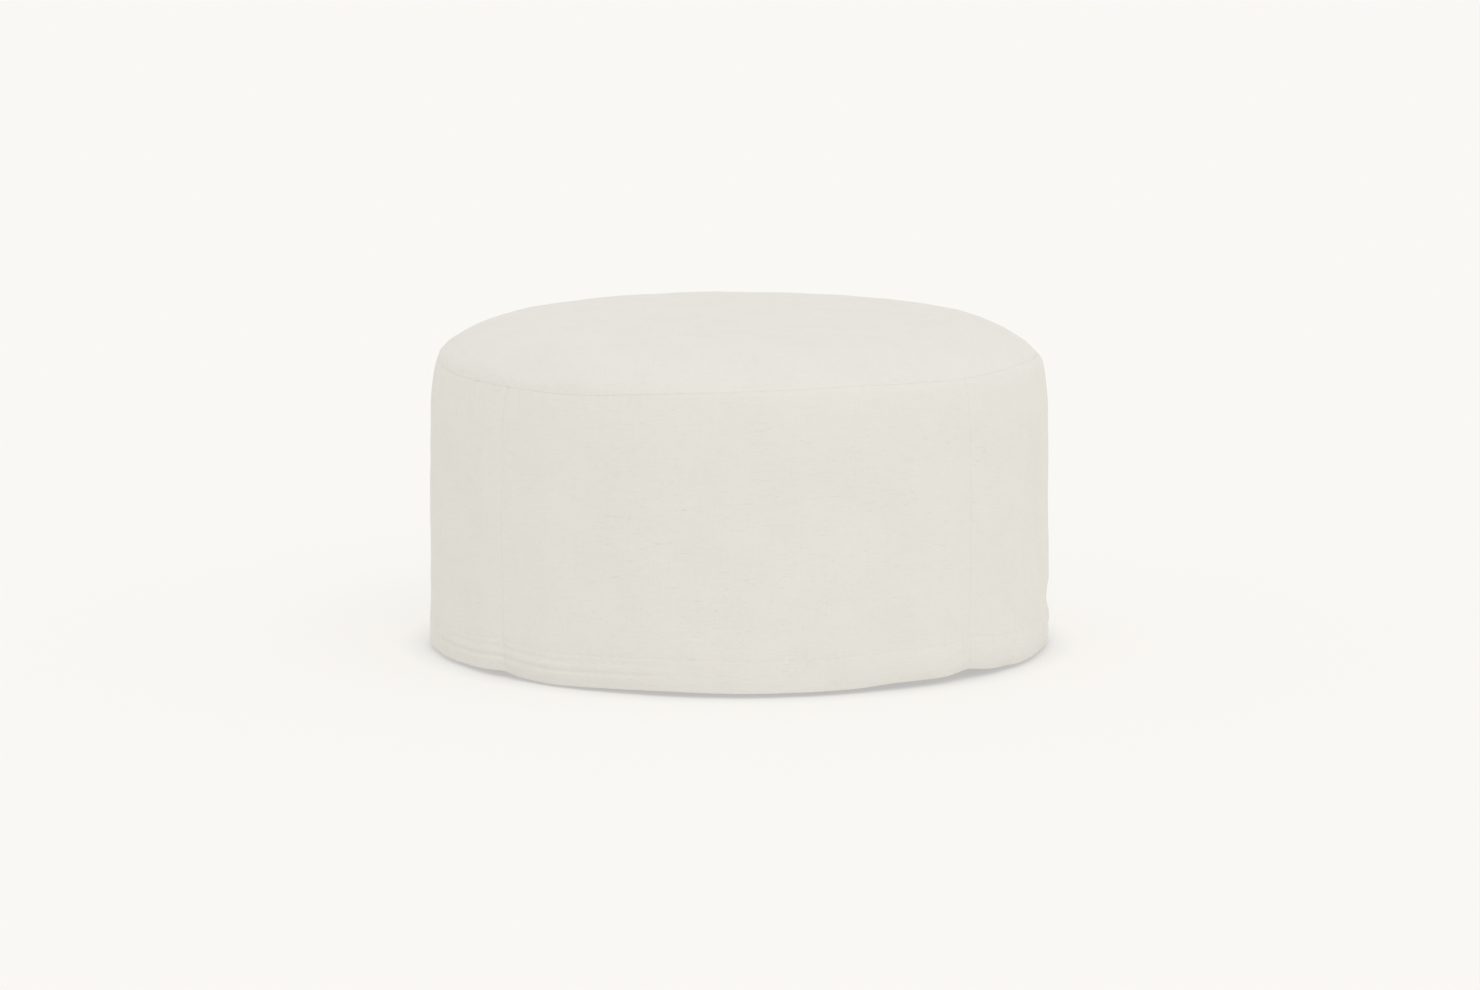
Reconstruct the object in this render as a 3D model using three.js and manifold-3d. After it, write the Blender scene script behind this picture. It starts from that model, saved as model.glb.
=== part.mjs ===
// A round ottoman in a loose linen slipcover. Millimetres, +Z up, the floor at Z = 0, the front at -Y.
// From outside in: the slipcover, a fixed calico cover, wadding, a foam pad on a webbed plywood drum,
// and four turned feet that the skirt hides.
import * as THREE from "three";
import { mergeVertices } from "three/addons/utils/BufferGeometryUtils.js";
import Module from "manifold-3d";

const wasm = await Module();
wasm.setup();

// ---- Driving dimensions ----

// Slipcover
const overallDiameter = 864; // across the hem
const overallHeight = 460; // floor to the top of the crown
const crownRise = 54; // top of the crown over the seam round the top panel
const crownPower = 8; // the higher, the flatter the crown before it rolls over its edge
const hemClearance = 7; // floor to hem
const hemDepth = 45; // the cloth turned up inside the hem
const hemPlies = 2; // layers of cloth in the hem band
const skirtFlare = 2.5; // how much wider in radius the hem is than the shoulder
const shoulderDrop = 82; // the side begins to curve in this far below the seam
const shoulderPull = 10.5; // and has come in this much at the seam
const shoulderPower = 2.2;
const seamAngles = { front: -138, right: -43.5, back: 45, left: 135 }; // where each panel starts, from +X
const coverCloth = 1.2;
const skirtEase = 3.6; // play between the skirt and the calico
const crownEase = 0.5; // and between the top panel and the calico

// Upholstery
const calicoCloth = 1;
const calicoTurnUnder = 34; // stapled under the bottom ring
const sideWadding = 12;
const crownWadding = 22;
const foamDepth = 108;
const foamSetback = 7; // foam inside the drum's outer face
const foamEdgeRadius = 60;
const hessianCloth = 1;
const dustCoverCloth = 0.8;
const dustCoverMargin = 6; // dust cover short of the calico's edge

// Webbing
const strapsEachWay = 4;
const strapPitch = 130;
const strapWidth = 60;
const strapThickness = 1.6;
const strapEndMargin = 16; // strap ends inside the ring's outer edge
const strapFlatMargin = 6; // how far past a crossing a strap stays level

// Drum
const boardWall = 3;
const plywood = 18;
const ringWidth = 90;
const postCount = 8;
const postWidth = 44;
const postDepth = 34;
const postEdge = 2; // chamfer
const postSetback = 3; // outer face inside the ring's edge
const railWidth = 70;
const railDepth = 24;
const railEndMargin = 14;

// Feet
const footHeight = 46;
const footTopRadius = 31;
const footBottomRadius = 25;
const footChamfer = 2.5;
const footInset = 58; // foot centre inside the ring's outer edge
const glideRadius = 15;
const glideHeight = 5;
const glideEdge = 1.5;
const nailRadius = 2;
const nailLength = 13;
const boltRadius = 4; // M8 hanger bolt
const boltInFoot = 26;
const boltAboveNut = 3;
const boltPoint = 3; // chamfer at each end
const nutFlangeRadius = 11;
const nutFlange = 1.6;
const nutBarrelRadius = 5.4;
const nutBarrel = 11;

// Fits
const fitGap = 0.3; // between pieces that touch
const paddingGap = 0.5; // between the calico and the wadding
const boltGap = 0.35; // radial, round a bolt, a nail or a nut's barrel

// Facets
const roundSides = 48;
const footSides = 24;
const smallSides = 16;
const crownSteps = 9;
const shoulderSteps = 4;
const edgeSteps = 5; // foam's rounded edge

// ---- Sizes worked out from them ----

const quarterTurn = Math.PI / 2;
const eighthTurn = Math.PI / 4;

const seamHeight = overallHeight - crownRise;
const hemRadius = overallDiameter / 2;
const shoulderRadius = hemRadius - skirtFlare;
const seamRadius = shoulderRadius - shoulderPull;
const shoulderHeight = seamHeight - shoulderDrop;

const calicoRadius = shoulderRadius - coverCloth - skirtEase;
const calicoInset = coverCloth + crownEase;
const waddingRadius = calicoRadius - calicoCloth - paddingGap;
const waddingInset = calicoInset + calicoCloth + paddingGap;
const boardRadius = waddingRadius - sideWadding - fitGap;
const ringRadius = boardRadius - boardWall - fitGap;
const foamRadius = boardRadius - foamSetback;

const footBase = glideHeight + fitGap;
const footTop = footBase + footHeight;
const dustCoverBase = footTop + fitGap;
const calicoBase = dustCoverBase + dustCoverCloth + fitGap;
const bottomRingBase = calicoBase + calicoCloth + fitGap;
const bottomRingTop = bottomRingBase + plywood;

const foamTop = overallHeight - waddingInset - crownWadding - fitGap;
const foamBase = foamTop - foamDepth;
const hessianBase = foamBase - fitGap - hessianCloth;
const strapRise = strapThickness + fitGap;
const strapLow = hessianBase - fitGap - strapRise - strapThickness / 2;
const topRingTop = strapLow - strapThickness / 2 - fitGap;
const topRingBase = topRingTop - plywood;

const footCircle = ringRadius - footInset;
const footAngles = [-3, -1, 1, 3].map((eighths) => eighths * eighthTurn);

// ---- Materials ----

const paint = (color, roughness, metalness = 0) =>
  new THREE.MeshStandardMaterial({ color, roughness, metalness });

const linen = paint(0xe5e3da, 0.95);
const calico = paint(0xe9e1cc, 0.95);
const wadding = paint(0xf4f4f1, 1);
const foam = paint(0xf1e4b4, 0.9);
const hessian = paint(0xb79a6a, 0.95);
const jute = paint(0xc2a878, 0.95);
const cambric = paint(0x2a2a2c, 0.95);
const board = paint(0xa98f6b, 0.9);
const birchPly = paint(0xd9bd8b, 0.65);
const pine = paint(0xdcb987, 0.7);
const beech = paint(0x8a5f3c, 0.45);
const nylon = paint(0xe8e6df, 0.5);
const zinc = paint(0xb8bcc0, 0.35, 1);

// ---- Shape helpers ----

const object = new THREE.Group();

function add(name, geometry, material, parent = object) {
  const mesh = new THREE.Mesh(geometry, material);
  mesh.name = name;
  parent.add(mesh);
  return mesh;
}

// A solid of revolution about Z. Points are [radius, height], anticlockwise in that plane,
// and either start and end on the axis or form a ring that this closes.
function turned(points, sides = roundSides) {
  const profile = points.map(([r, z]) => new THREE.Vector2(r, z));
  if (points[0][0] > 0) profile.push(profile[0].clone());
  return new THREE.LatheGeometry(profile, sides).rotateX(quarterTurn);
}

const polar = (radius, angle) => new THREE.Vector2(radius * Math.cos(angle), radius * Math.sin(angle));

// A closed geometry as a solid that can be cut, and back again.
function solidOf(geometry) {
  const bare = geometry.clone();
  bare.deleteAttribute("normal");
  bare.deleteAttribute("uv");
  const merged = mergeVertices(bare);
  const mesh = {
    numProp: 3,
    vertProperties: merged.attributes.position.array,
    triVerts: new Uint32Array(merged.index.array),
  };
  return new wasm.Manifold(new wasm.Mesh(mesh));
}

function geometryOf(solid) {
  const { vertProperties, triVerts } = solid.getMesh();
  const geometry = new THREE.BufferGeometry();
  geometry.setAttribute("position", new THREE.BufferAttribute(vertProperties, 3));
  geometry.setIndex(new THREE.BufferAttribute(triVerts, 1));
  return geometry;
}

// All the space between two upright planes through the axis, less half a fit's gap at each.
function wedge(from, to) {
  const middle = (from + to) / 2;
  const apex = polar(fitGap / 2 / Math.sin((to - from) / 2), middle);
  const rim = [polar(hemRadius * 2, from), polar(hemRadius * 3, middle), polar(hemRadius * 2, to)];
  const shape = new THREE.Shape([apex, ...rim.map((point) => point.add(apex))]);
  return solidOf(slab(shape, 0, overallHeight));
}

// A circle's corners, at the same angles as those of a turned solid with as many sides.
function corners(radius, sides, centre = new THREE.Vector2()) {
  const points = [];
  for (let side = 0; side < sides; side++) {
    points.push(polar(radius, (side / sides) * 2 * Math.PI).add(centre));
  }
  return points;
}

const disc = (radius) => new THREE.Shape(corners(radius, roundSides));

function slab(shape, base, thickness) {
  const options = { depth: thickness, bevelEnabled: false };
  return new THREE.ExtrudeGeometry(shape, options).translate(0, 0, base);
}

function footHoles(radius) {
  return footAngles.map((angle) => new THREE.Path(corners(radius, smallSides, polar(footCircle, angle))));
}

// ---- The outline that the slipcover and the layers beneath it share ----

// The crown from the seam to the axis, brought in by inset at the seam and down by it at the top.
// Its edge starts lift above the seam, so that it clears the side sewn to it.
function crownLine(inset, lift = 0) {
  const radius = seamRadius - inset;
  const base = seamHeight + lift;
  const rise = crownRise - inset - lift;
  const line = [];
  for (let step = 0; step < crownSteps; step++) {
    const share = Math.cos((step / crownSteps) * quarterTurn);
    line.push([radius * share, base + rise * (1 - share ** crownPower)]);
  }
  return [...line, [0, base + rise]];
}

// The side from base to top: upright as far as the shoulder, then curving in towards the seam.
function sideLine(base, top, waist, seam) {
  const heights = [base];
  for (let step = 0; step < shoulderSteps; step++) {
    const height = shoulderHeight + (step / shoulderSteps) * shoulderDrop;
    if (height > base + fitGap && height < top - fitGap) heights.push(height);
  }
  heights.push(top);
  return heights.map((height) => {
    const share = Math.max(0, height - shoulderHeight) / shoulderDrop;
    return [waist - (waist - seam) * share ** shoulderPower, height];
  });
}

// A closed profile between an outer line and an inner one, both listed the same way.
const between = (outer, inner) => [...inner.slice().reverse(), ...outer];

// ---- Slipcover ----

// A side panel's section: one layer of cloth, with a band turned up inside the hem.
function sidePanelProfile() {
  const top = seamHeight - fitGap / 2;
  const hemTop = hemClearance + hemDepth;
  const hemWall = coverCloth * hemPlies;
  const outer = sideLine(shoulderHeight, top, shoulderRadius, seamRadius);
  const inner = sideLine(shoulderHeight, top, shoulderRadius - coverCloth, seamRadius - coverCloth);
  const flareAt = (height) => (skirtFlare * (shoulderHeight - height)) / (shoulderHeight - hemClearance);
  const hemInner = shoulderRadius + flareAt(hemTop);
  const turnUp = [
    [hemRadius - hemWall, hemClearance],
    [hemInner - hemWall, hemTop],
    [hemInner - coverCloth, hemTop],
  ];
  return between([[hemRadius, hemClearance], ...outer], [...turnUp, ...inner]);
}

function addSlipcover() {
  const topSection = between(crownLine(0, fitGap / 2), crownLine(coverCloth, fitGap / 2));
  add("cover_top_panel", turned(topSection), linen);
  const skirt = solidOf(turned(sidePanelProfile()));
  const starts = Object.entries(seamAngles);
  starts.forEach(([side, start], index) => {
    const end = index + 1 < starts.length ? starts[index + 1][1] : starts[0][1] + 360;
    const cut = wedge(THREE.MathUtils.degToRad(start), THREE.MathUtils.degToRad(end));
    add(`cover_side_${side}`, geometryOf(skirt.intersect(cut)), linen);
  });
}

// ---- Fixed calico cover and wadding ----

function addCalico() {
  const lift = fitGap / 2;
  const topSection = between(crownLine(calicoInset, lift), crownLine(calicoInset + calicoCloth, lift));
  add("calico_top", turned(topSection), calico);

  const top = seamHeight - lift;
  const seam = seamRadius - calicoInset;
  const turnedIn = calicoRadius - calicoTurnUnder;
  const under = [
    [turnedIn, calicoBase],
    [turnedIn, calicoBase + calicoCloth],
  ];
  const outer = sideLine(calicoBase, top, calicoRadius, seam);
  const inner = sideLine(calicoBase + calicoCloth, top, calicoRadius - calicoCloth, seam - calicoCloth);
  add("calico_side", turned(between(outer, [...under, ...inner])), calico);
}

function foamLine(grow) {
  const centre = [foamRadius - foamEdgeRadius, foamTop - foamEdgeRadius];
  const line = [[foamRadius + grow, foamBase]];
  for (let step = 0; step <= edgeSteps; step++) {
    const angle = (step / edgeSteps) * quarterTurn;
    const radius = foamEdgeRadius + grow;
    line.push([centre[0] + radius * Math.cos(angle), centre[1] + radius * Math.sin(angle)]);
  }
  return [...line, [0, foamTop + grow]];
}

function addPadding() {
  const seam = seamRadius - waddingInset;
  const shoulder = sideLine(foamBase, seamHeight - fitGap, waddingRadius, seam);
  const skin = [...shoulder, ...crownLine(waddingInset)];
  add("crown_wadding", turned(between(skin, foamLine(fitGap))), wadding);
  add("foam_pad", turned([[0, foamBase], ...foamLine(0)]), foam);

  const top = foamBase - fitGap;
  const inside = boardRadius + fitGap;
  const outer = sideLine(bottomRingBase, top, waddingRadius, seam);
  add("side_wadding", turned(between(outer, [[inside, bottomRingBase], [inside, top]])), wadding);
}

// ---- Deck: hessian over interlaced webbing ----

// The level of a strap's middle at a crossing: over where the two counts add to an even number.
const strapLevel = (strap, crossing) => strapLow + ((strap + crossing) % 2 === 0 ? strapRise : 0);

// One strap's side view, lying along X, weaving over and under the straps that cross it.
function strapSideView(strap, offset) {
  const reach = ringRadius - strapEndMargin;
  const half = Math.sqrt(reach ** 2 - (Math.abs(offset) + strapWidth / 2) ** 2);
  const level = strapWidth / 2 + strapFlatMargin;
  const middle = [[-half, strapLow]];
  for (let crossing = 0; crossing < strapsEachWay; crossing++) {
    const at = strapOffset(crossing);
    middle.push([at - level, strapLevel(strap, crossing)], [at + level, strapLevel(strap, crossing)]);
  }
  middle.push([half, strapLow]);
  const lower = middle.map(([x, z]) => new THREE.Vector2(x, z - strapThickness / 2));
  const upper = middle.map(([x, z]) => new THREE.Vector2(x, z + strapThickness / 2));
  return new THREE.Shape([...lower, ...upper.reverse()]);
}

const strapOffset = (strap) => (strap - (strapsEachWay - 1) / 2) * strapPitch;

function addDeck() {
  add("hessian_deck", slab(disc(foamRadius), hessianBase, hessianCloth), hessian);
  for (const [way, turn] of [["across", 0], ["along", quarterTurn]]) {
    const layer = new THREE.Group();
    layer.rotation.z = turn;
    object.add(layer);
    for (let strap = 0; strap < strapsEachWay; strap++) {
      const offset = strapOffset(strap);
      // Turned a quarter, the straps are counted backwards, and the odd one out is the one below.
      const count = turn === 0 ? strap : strapsEachWay - strap;
      const options = { depth: strapWidth, bevelEnabled: false };
      const geometry = new THREE.ExtrudeGeometry(strapSideView(count, offset), options);
      geometry.translate(0, 0, -strapWidth / 2).rotateX(quarterTurn).translate(0, offset, 0);
      add(`webbing_${way}_${strap + 1}`, geometry, jute, layer);
    }
  }
}

// ---- Drum: two plywood rings, posts, cross rails and a bent board round them ----

function ringShape(holes) {
  const shape = disc(ringRadius);
  shape.holes.push(new THREE.Path(corners(ringRadius - ringWidth, roundSides)), ...holes);
  return shape;
}

function chamferedBar(width, depth, height, edge) {
  const [x, y] = [width / 2, depth / 2];
  const corners = [
    [x - edge, -y], [x, edge - y], [x, y - edge], [x - edge, y],
    [edge - x, y], [-x, y - edge], [-x, edge - y], [edge - x, -y],
  ];
  const shape = new THREE.Shape(corners.map(([a, b]) => new THREE.Vector2(a, b)));
  return new THREE.ExtrudeGeometry(shape, { depth: height, bevelEnabled: false });
}

function addPosts() {
  const base = bottomRingTop + fitGap;
  const height = topRingBase - fitGap - base;
  for (let post = 0; post < postCount; post++) {
    const stand = new THREE.Group();
    stand.rotation.z = ((post + 0.5) / postCount) * 2 * Math.PI;
    object.add(stand);
    const radius = ringRadius - postSetback - postDepth / 2;
    const mesh = add(`post_${post + 1}`, chamferedBar(postDepth, postWidth, height, postEdge), pine, stand);
    mesh.position.set(radius, 0, base);
  }
}

// Two rails cross on the bottom ring and are halved into each other.
function addCrossRails() {
  const half = ringRadius - postDepth - railEndMargin;
  const base = bottomRingTop + fitGap;
  const notch = railWidth / 2 + fitGap;
  const middle = base + railDepth / 2;
  const lap = { cross_rail_lower: middle - fitGap / 2, cross_rail_upper: middle + fitGap / 2 };
  for (const [name, cut] of Object.entries(lap)) {
    const lower = name === "cross_rail_lower";
    const [face, back] = lower ? [base + railDepth, base] : [base, base + railDepth];
    const outline = [[-half, back], [half, back], [half, face], [notch, face], [notch, cut],
      [-notch, cut], [-notch, face], [-half, face]];
    const shape = new THREE.Shape(outline.map(([x, z]) => new THREE.Vector2(x, z)));
    const geometry = new THREE.ExtrudeGeometry(shape, { depth: railWidth, bevelEnabled: false });
    geometry.translate(0, 0, -railWidth / 2).rotateX(quarterTurn);
    add(name, geometry, pine).rotation.z = lower ? 0 : quarterTurn;
  }
}

function addDrum() {
  const boltWay = footHoles(nutBarrelRadius + boltGap);
  add("bottom_ring", slab(ringShape(boltWay), bottomRingBase, plywood), birchPly);
  add("top_ring", slab(ringShape([]), topRingBase, plywood), birchPly);
  addPosts();
  addCrossRails();
  const inside = ringRadius + fitGap;
  const wall = [
    [inside, bottomRingBase],
    [boardRadius, bottomRingBase],
    [boardRadius, topRingTop],
    [inside, topRingTop],
  ];
  add("side_board", turned(wall), board);
}

// ---- Underside and feet ----

function footProfile() {
  const nailHole = nailRadius + boltGap;
  const boltHole = boltRadius + boltGap;
  return [
    [0, nailLength + boltGap],
    [nailHole, nailLength + boltGap],
    [nailHole, 0],
    [footBottomRadius - footChamfer, 0],
    [footBottomRadius, footChamfer],
    [footTopRadius, footHeight - footChamfer],
    [footTopRadius - footChamfer, footHeight],
    [boltHole, footHeight],
    [boltHole, footHeight - boltInFoot - boltGap],
    [0, footHeight - boltInFoot - boltGap],
  ];
}

function glideProfile() {
  return [
    [0, 0],
    [glideRadius - glideEdge, 0],
    [glideRadius, glideEdge],
    [glideRadius, glideHeight],
    [nailRadius, glideHeight],
    [nailRadius, footBase + nailLength - nailRadius],
    [0, footBase + nailLength],
  ];
}

function boltProfile() {
  const base = footTop - boltInFoot;
  const top = bottomRingTop + fitGap + nutFlange + boltAboveNut;
  return [
    [0, base],
    [boltRadius, base + boltPoint],
    [boltRadius, top - boltPoint / 2],
    [boltRadius - boltPoint / 2, top],
    [0, top],
  ];
}

function nutProfile() {
  const seat = bottomRingTop + fitGap;
  const bore = boltRadius + boltGap;
  return [
    [bore, seat - nutBarrel],
    [nutBarrelRadius, seat - nutBarrel],
    [nutBarrelRadius, seat],
    [nutFlangeRadius, seat],
    [nutFlangeRadius, seat + nutFlange],
    [bore, seat + nutFlange],
  ];
}

function addUnderside() {
  const shape = disc(calicoRadius - dustCoverMargin);
  shape.holes.push(...footHoles(boltRadius + boltGap));
  add("dust_cover", slab(shape, dustCoverBase, dustCoverCloth), cambric);

  footAngles.forEach((angle, index) => {
    const corner = new THREE.Group();
    corner.position.set(...polar(footCircle, angle), 0);
    object.add(corner);
    const number = index + 1;
    add(`foot_${number}`, turned(footProfile(), footSides), beech, corner).position.z = footBase;
    add(`foot_glide_${number}`, turned(glideProfile(), smallSides), nylon, corner);
    add(`hanger_bolt_${number}`, turned(boltProfile(), smallSides), zinc, corner);
    add(`tee_nut_${number}`, turned(nutProfile(), smallSides), zinc, corner);
  });
}

addSlipcover();
addCalico();
addPadding();
addDeck();
addDrum();
addUnderside();

export default object;
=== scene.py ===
"""The visual model of a round ottoman in a loose linen slipcover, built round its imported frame.

Metres, +Z up, the floor at Z = 0 and the front at -Y. Angles round the ottoman, called azimuths,
are counted from the front towards the right, so the right side is at 90 degrees.
"""

import logging
import math
from dataclasses import dataclass
from enum import Enum
from functools import cached_property
from typing import Iterable, Optional, Union

import bpy
import numpy as np
from mathutils import Matrix, Vector


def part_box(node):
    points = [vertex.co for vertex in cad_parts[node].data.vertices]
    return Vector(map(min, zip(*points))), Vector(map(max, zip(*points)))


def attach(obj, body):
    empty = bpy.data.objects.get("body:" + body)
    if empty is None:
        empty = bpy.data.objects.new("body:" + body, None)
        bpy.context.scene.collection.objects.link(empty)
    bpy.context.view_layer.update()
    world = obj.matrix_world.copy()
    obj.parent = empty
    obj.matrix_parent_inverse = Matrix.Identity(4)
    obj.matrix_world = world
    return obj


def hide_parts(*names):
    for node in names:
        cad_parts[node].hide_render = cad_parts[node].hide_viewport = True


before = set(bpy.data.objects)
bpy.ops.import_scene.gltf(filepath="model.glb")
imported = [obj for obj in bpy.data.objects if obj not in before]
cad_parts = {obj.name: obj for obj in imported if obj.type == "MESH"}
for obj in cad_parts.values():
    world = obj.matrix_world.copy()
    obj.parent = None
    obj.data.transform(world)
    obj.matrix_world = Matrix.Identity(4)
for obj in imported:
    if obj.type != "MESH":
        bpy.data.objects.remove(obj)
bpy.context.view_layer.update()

log = logging.getLogger("ottoman")

Array = np.ndarray
Object = bpy.types.Object
Material = bpy.types.Material
Socket = bpy.types.NodeSocket
Feed = Union[Socket, float, tuple]

MM = 0.001
POST_COUNT = 8
FOOT_COUNT = 4


# ---------------------------------------------------------------------------------------------
# Numbers that vary round the ottoman
# ---------------------------------------------------------------------------------------------


def eased(share: Array) -> Array:
    """Returns share clipped to 0..1 and eased at both ends."""
    share = np.clip(share, 0.0, 1.0)
    return share * share * (3.0 - 2.0 * share)


def hump(distance: Array, half_width: float) -> Array:
    """Returns 1 where distance is 0, falling smoothly to 0 at half_width on either side."""
    return eased(1.0 - np.abs(distance) / half_width)


def turn_between(azimuth: Array, centre: float) -> Array:
    """Returns the signed angle in degrees from centre, in degrees, to azimuth, in radians."""
    return (np.degrees(azimuth) - centre + 180.0) % 360.0 - 180.0


@dataclass(frozen=True)
class Ring:
    """A length that changes smoothly round the ottoman.

    knots holds pairs of degrees and millimetres, and blend is how far each is smoothed, in degrees.
    """

    knots: tuple[tuple[float, float], ...]
    blend: float = 4.0

    def at(self, azimuth: Array) -> Array:
        """Returns the length in metres at each azimuth, in radians."""
        count = 1440
        grid = np.arange(count) * 360.0 / count
        degrees, lengths = np.array(sorted(self.knots)).T
        table = np.interp(grid, degrees, lengths, period=360.0)
        lobes = np.arange(count // 2 + 1)
        blur = np.exp(-0.5 * (lobes * math.radians(self.blend)) ** 2)
        table = np.fft.irfft(np.fft.rfft(table) * blur, count)
        return np.interp(np.degrees(azimuth), grid, table, period=360.0) * MM


@dataclass(frozen=True)
class Ripple:
    """Random waviness round the ottoman, of unit strength and the same on every run."""

    fewest: int
    most: int
    seed: int

    def at(self, azimuth: Array) -> Array:
        """Returns the wave's height at each azimuth, in radians."""
        draw = np.random.default_rng(self.seed)
        lobes = np.arange(self.fewest, self.most + 1)[:, None]
        sizes = draw.normal(size=lobes.shape)
        phases = draw.uniform(0.0, 2.0 * math.pi, lobes.shape)
        waves = sizes * np.cos(lobes * np.ravel(azimuth)[None, :] + phases)
        return (waves.sum(0) / math.sqrt((sizes**2).sum() / 2.0)).reshape(np.shape(azimuth))


@dataclass(frozen=True)
class Crumple:
    """Soft unevenness over a flat cloth, of unit strength, from waves that cross it every way.

    girth is the width after which it comes round to itself, or 0 if the cloth doesn't meet itself.
    """

    shortest: float
    longest: float
    seed: int
    count: int = 28
    girth: float = 0.0

    def at(self, across: Array, along: Array) -> Array:
        """Returns the height at each point of the cloth, given in metres across and along it."""
        draw = np.random.default_rng(self.seed)
        height = np.zeros(np.shape(across))
        for _ in range(self.count):
            length = draw.uniform(self.shortest, self.longest)
            heading, phase = draw.uniform(0.0, 2.0 * math.pi, 2)
            pace = math.cos(heading) / length
            if self.girth:
                pace = round(pace * self.girth) / self.girth
            height += np.cos(2.0 * math.pi * (across * pace + along * math.sin(heading) / length) + phase)
        return height / math.sqrt(self.count / 2.0)


# ---------------------------------------------------------------------------------------------
# Shader nodes
# ---------------------------------------------------------------------------------------------


class Bench:
    """Places shader nodes in one tree and joins them up."""

    def __init__(self, tree: bpy.types.NodeTree) -> None:
        """Starts on a tree, which keeps the nodes it has."""
        self.tree = tree

    def feed(self, socket: Socket, value: Feed) -> None:
        """Links value to a socket if it is one, and otherwise sets it there."""
        if isinstance(value, bpy.types.NodeSocket):
            self.tree.links.new(value, socket)
        else:
            socket.default_value = value

    def node(self, kind: str, feeds: Optional[dict] = None, **settings: object) -> bpy.types.Node:
        """Adds a node.

        Args:
            kind: the node's type name.
            feeds: what goes into its inputs, by the input's name or number.
            settings: its properties.

        Returns:
            The node.
        """
        node = self.tree.nodes.new(kind)
        for name, value in settings.items():
            setattr(node, name, value)
        for name, value in (feeds or {}).items():
            self.feed(node.inputs[name], value)
        return node

    def sum(self, operation: str, *values: Feed) -> Socket:
        """Adds a Math node for the operation and returns its result."""
        return self.node("ShaderNodeMath", dict(enumerate(values)), operation=operation).outputs[0]

    def noise(self, vector: Feed, scale: float, detail: float = 2.0, rough: float = 0.5) -> Socket:
        """Adds a Noise texture and returns its value."""
        feeds = {"Vector": vector, "Scale": scale, "Detail": detail, "Roughness": rough}
        return self.node("ShaderNodeTexNoise", feeds).outputs["Fac"]

    def stretched(self, vector: Feed, scale: tuple[float, float, float]) -> Socket:
        """Returns a vector scaled differently along each axis."""
        node = self.node("ShaderNodeVectorMath", {0: vector, 1: scale}, operation="MULTIPLY")
        return node.outputs[0]

    def span(self, value: Feed, low: float, high: float, to_low: float = 0.0, to_high: float = 1.0) -> Socket:
        """Returns value brought from low..high to to_low..to_high, and held within them."""
        feeds = {"Value": value, 1: low, 2: high, 3: to_low, 4: to_high}
        return self.node("ShaderNodeMapRange", feeds, interpolation_type="SMOOTHSTEP").outputs[0]

    def blend(self, share: Feed, first: Feed, second: Feed) -> Socket:
        """Returns a colour between two, by share."""
        node = self.node("ShaderNodeMix", data_type="RGBA")
        self.feed(node.inputs[0], share)
        for socket, colour in ((node.inputs[6], first), (node.inputs[7], second)):
            whole = colour if isinstance(colour, bpy.types.NodeSocket) else (*colour, 1.0)
            self.feed(socket, whole)
        return node.outputs[2]

    def relief(self, height: Feed, distance: float, strength: float = 1.0) -> Socket:
        """Returns a normal bumped by height, distance metres deep."""
        feeds = {"Height": height, "Distance": distance, "Strength": strength}
        return self.node("ShaderNodeBump", feeds).outputs[0]


class Effect:
    """A shader group that several finishes share, made the first time it is wanted."""

    title = ""
    inlets: tuple[tuple[str, str, object], ...] = ()
    outlets: tuple[str, ...] = ()

    @classmethod
    def tree(cls) -> bpy.types.NodeTree:
        """Returns the group, building it if it isn't there yet."""
        made = bpy.data.node_groups.get(cls.title)
        if made is None:
            made = bpy.data.node_groups.new(cls.title, "ShaderNodeTree")
            for name, kind, value in cls.inlets:
                socket = made.interface.new_socket(name, in_out="INPUT", socket_type=kind)
                if value is not None:
                    socket.default_value = value
            for name in cls.outlets:
                made.interface.new_socket(name, in_out="OUTPUT", socket_type="NodeSocketFloat")
            bench = Bench(made)
            given = bench.node("NodeGroupInput")
            result = bench.node("NodeGroupOutput")
            for name, value in cls.wire(bench, given).items():
                bench.feed(result.inputs[name], value)
        return made

    @classmethod
    def wire(cls, bench: Bench, given: bpy.types.Node) -> dict[str, Socket]:
        """Returns what goes to each outlet."""
        raise NotImplementedError

    @classmethod
    def place(cls, bench: Bench, **feeds: Feed) -> bpy.types.NodeOutputs:
        """Places the group in a material and returns its outlets."""
        node = bench.node("ShaderNodeGroup", node_tree=cls.tree())
        for name, value in feeds.items():
            bench.feed(node.inputs[name.replace("_", " ").title()], value)
        return node.outputs


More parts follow.
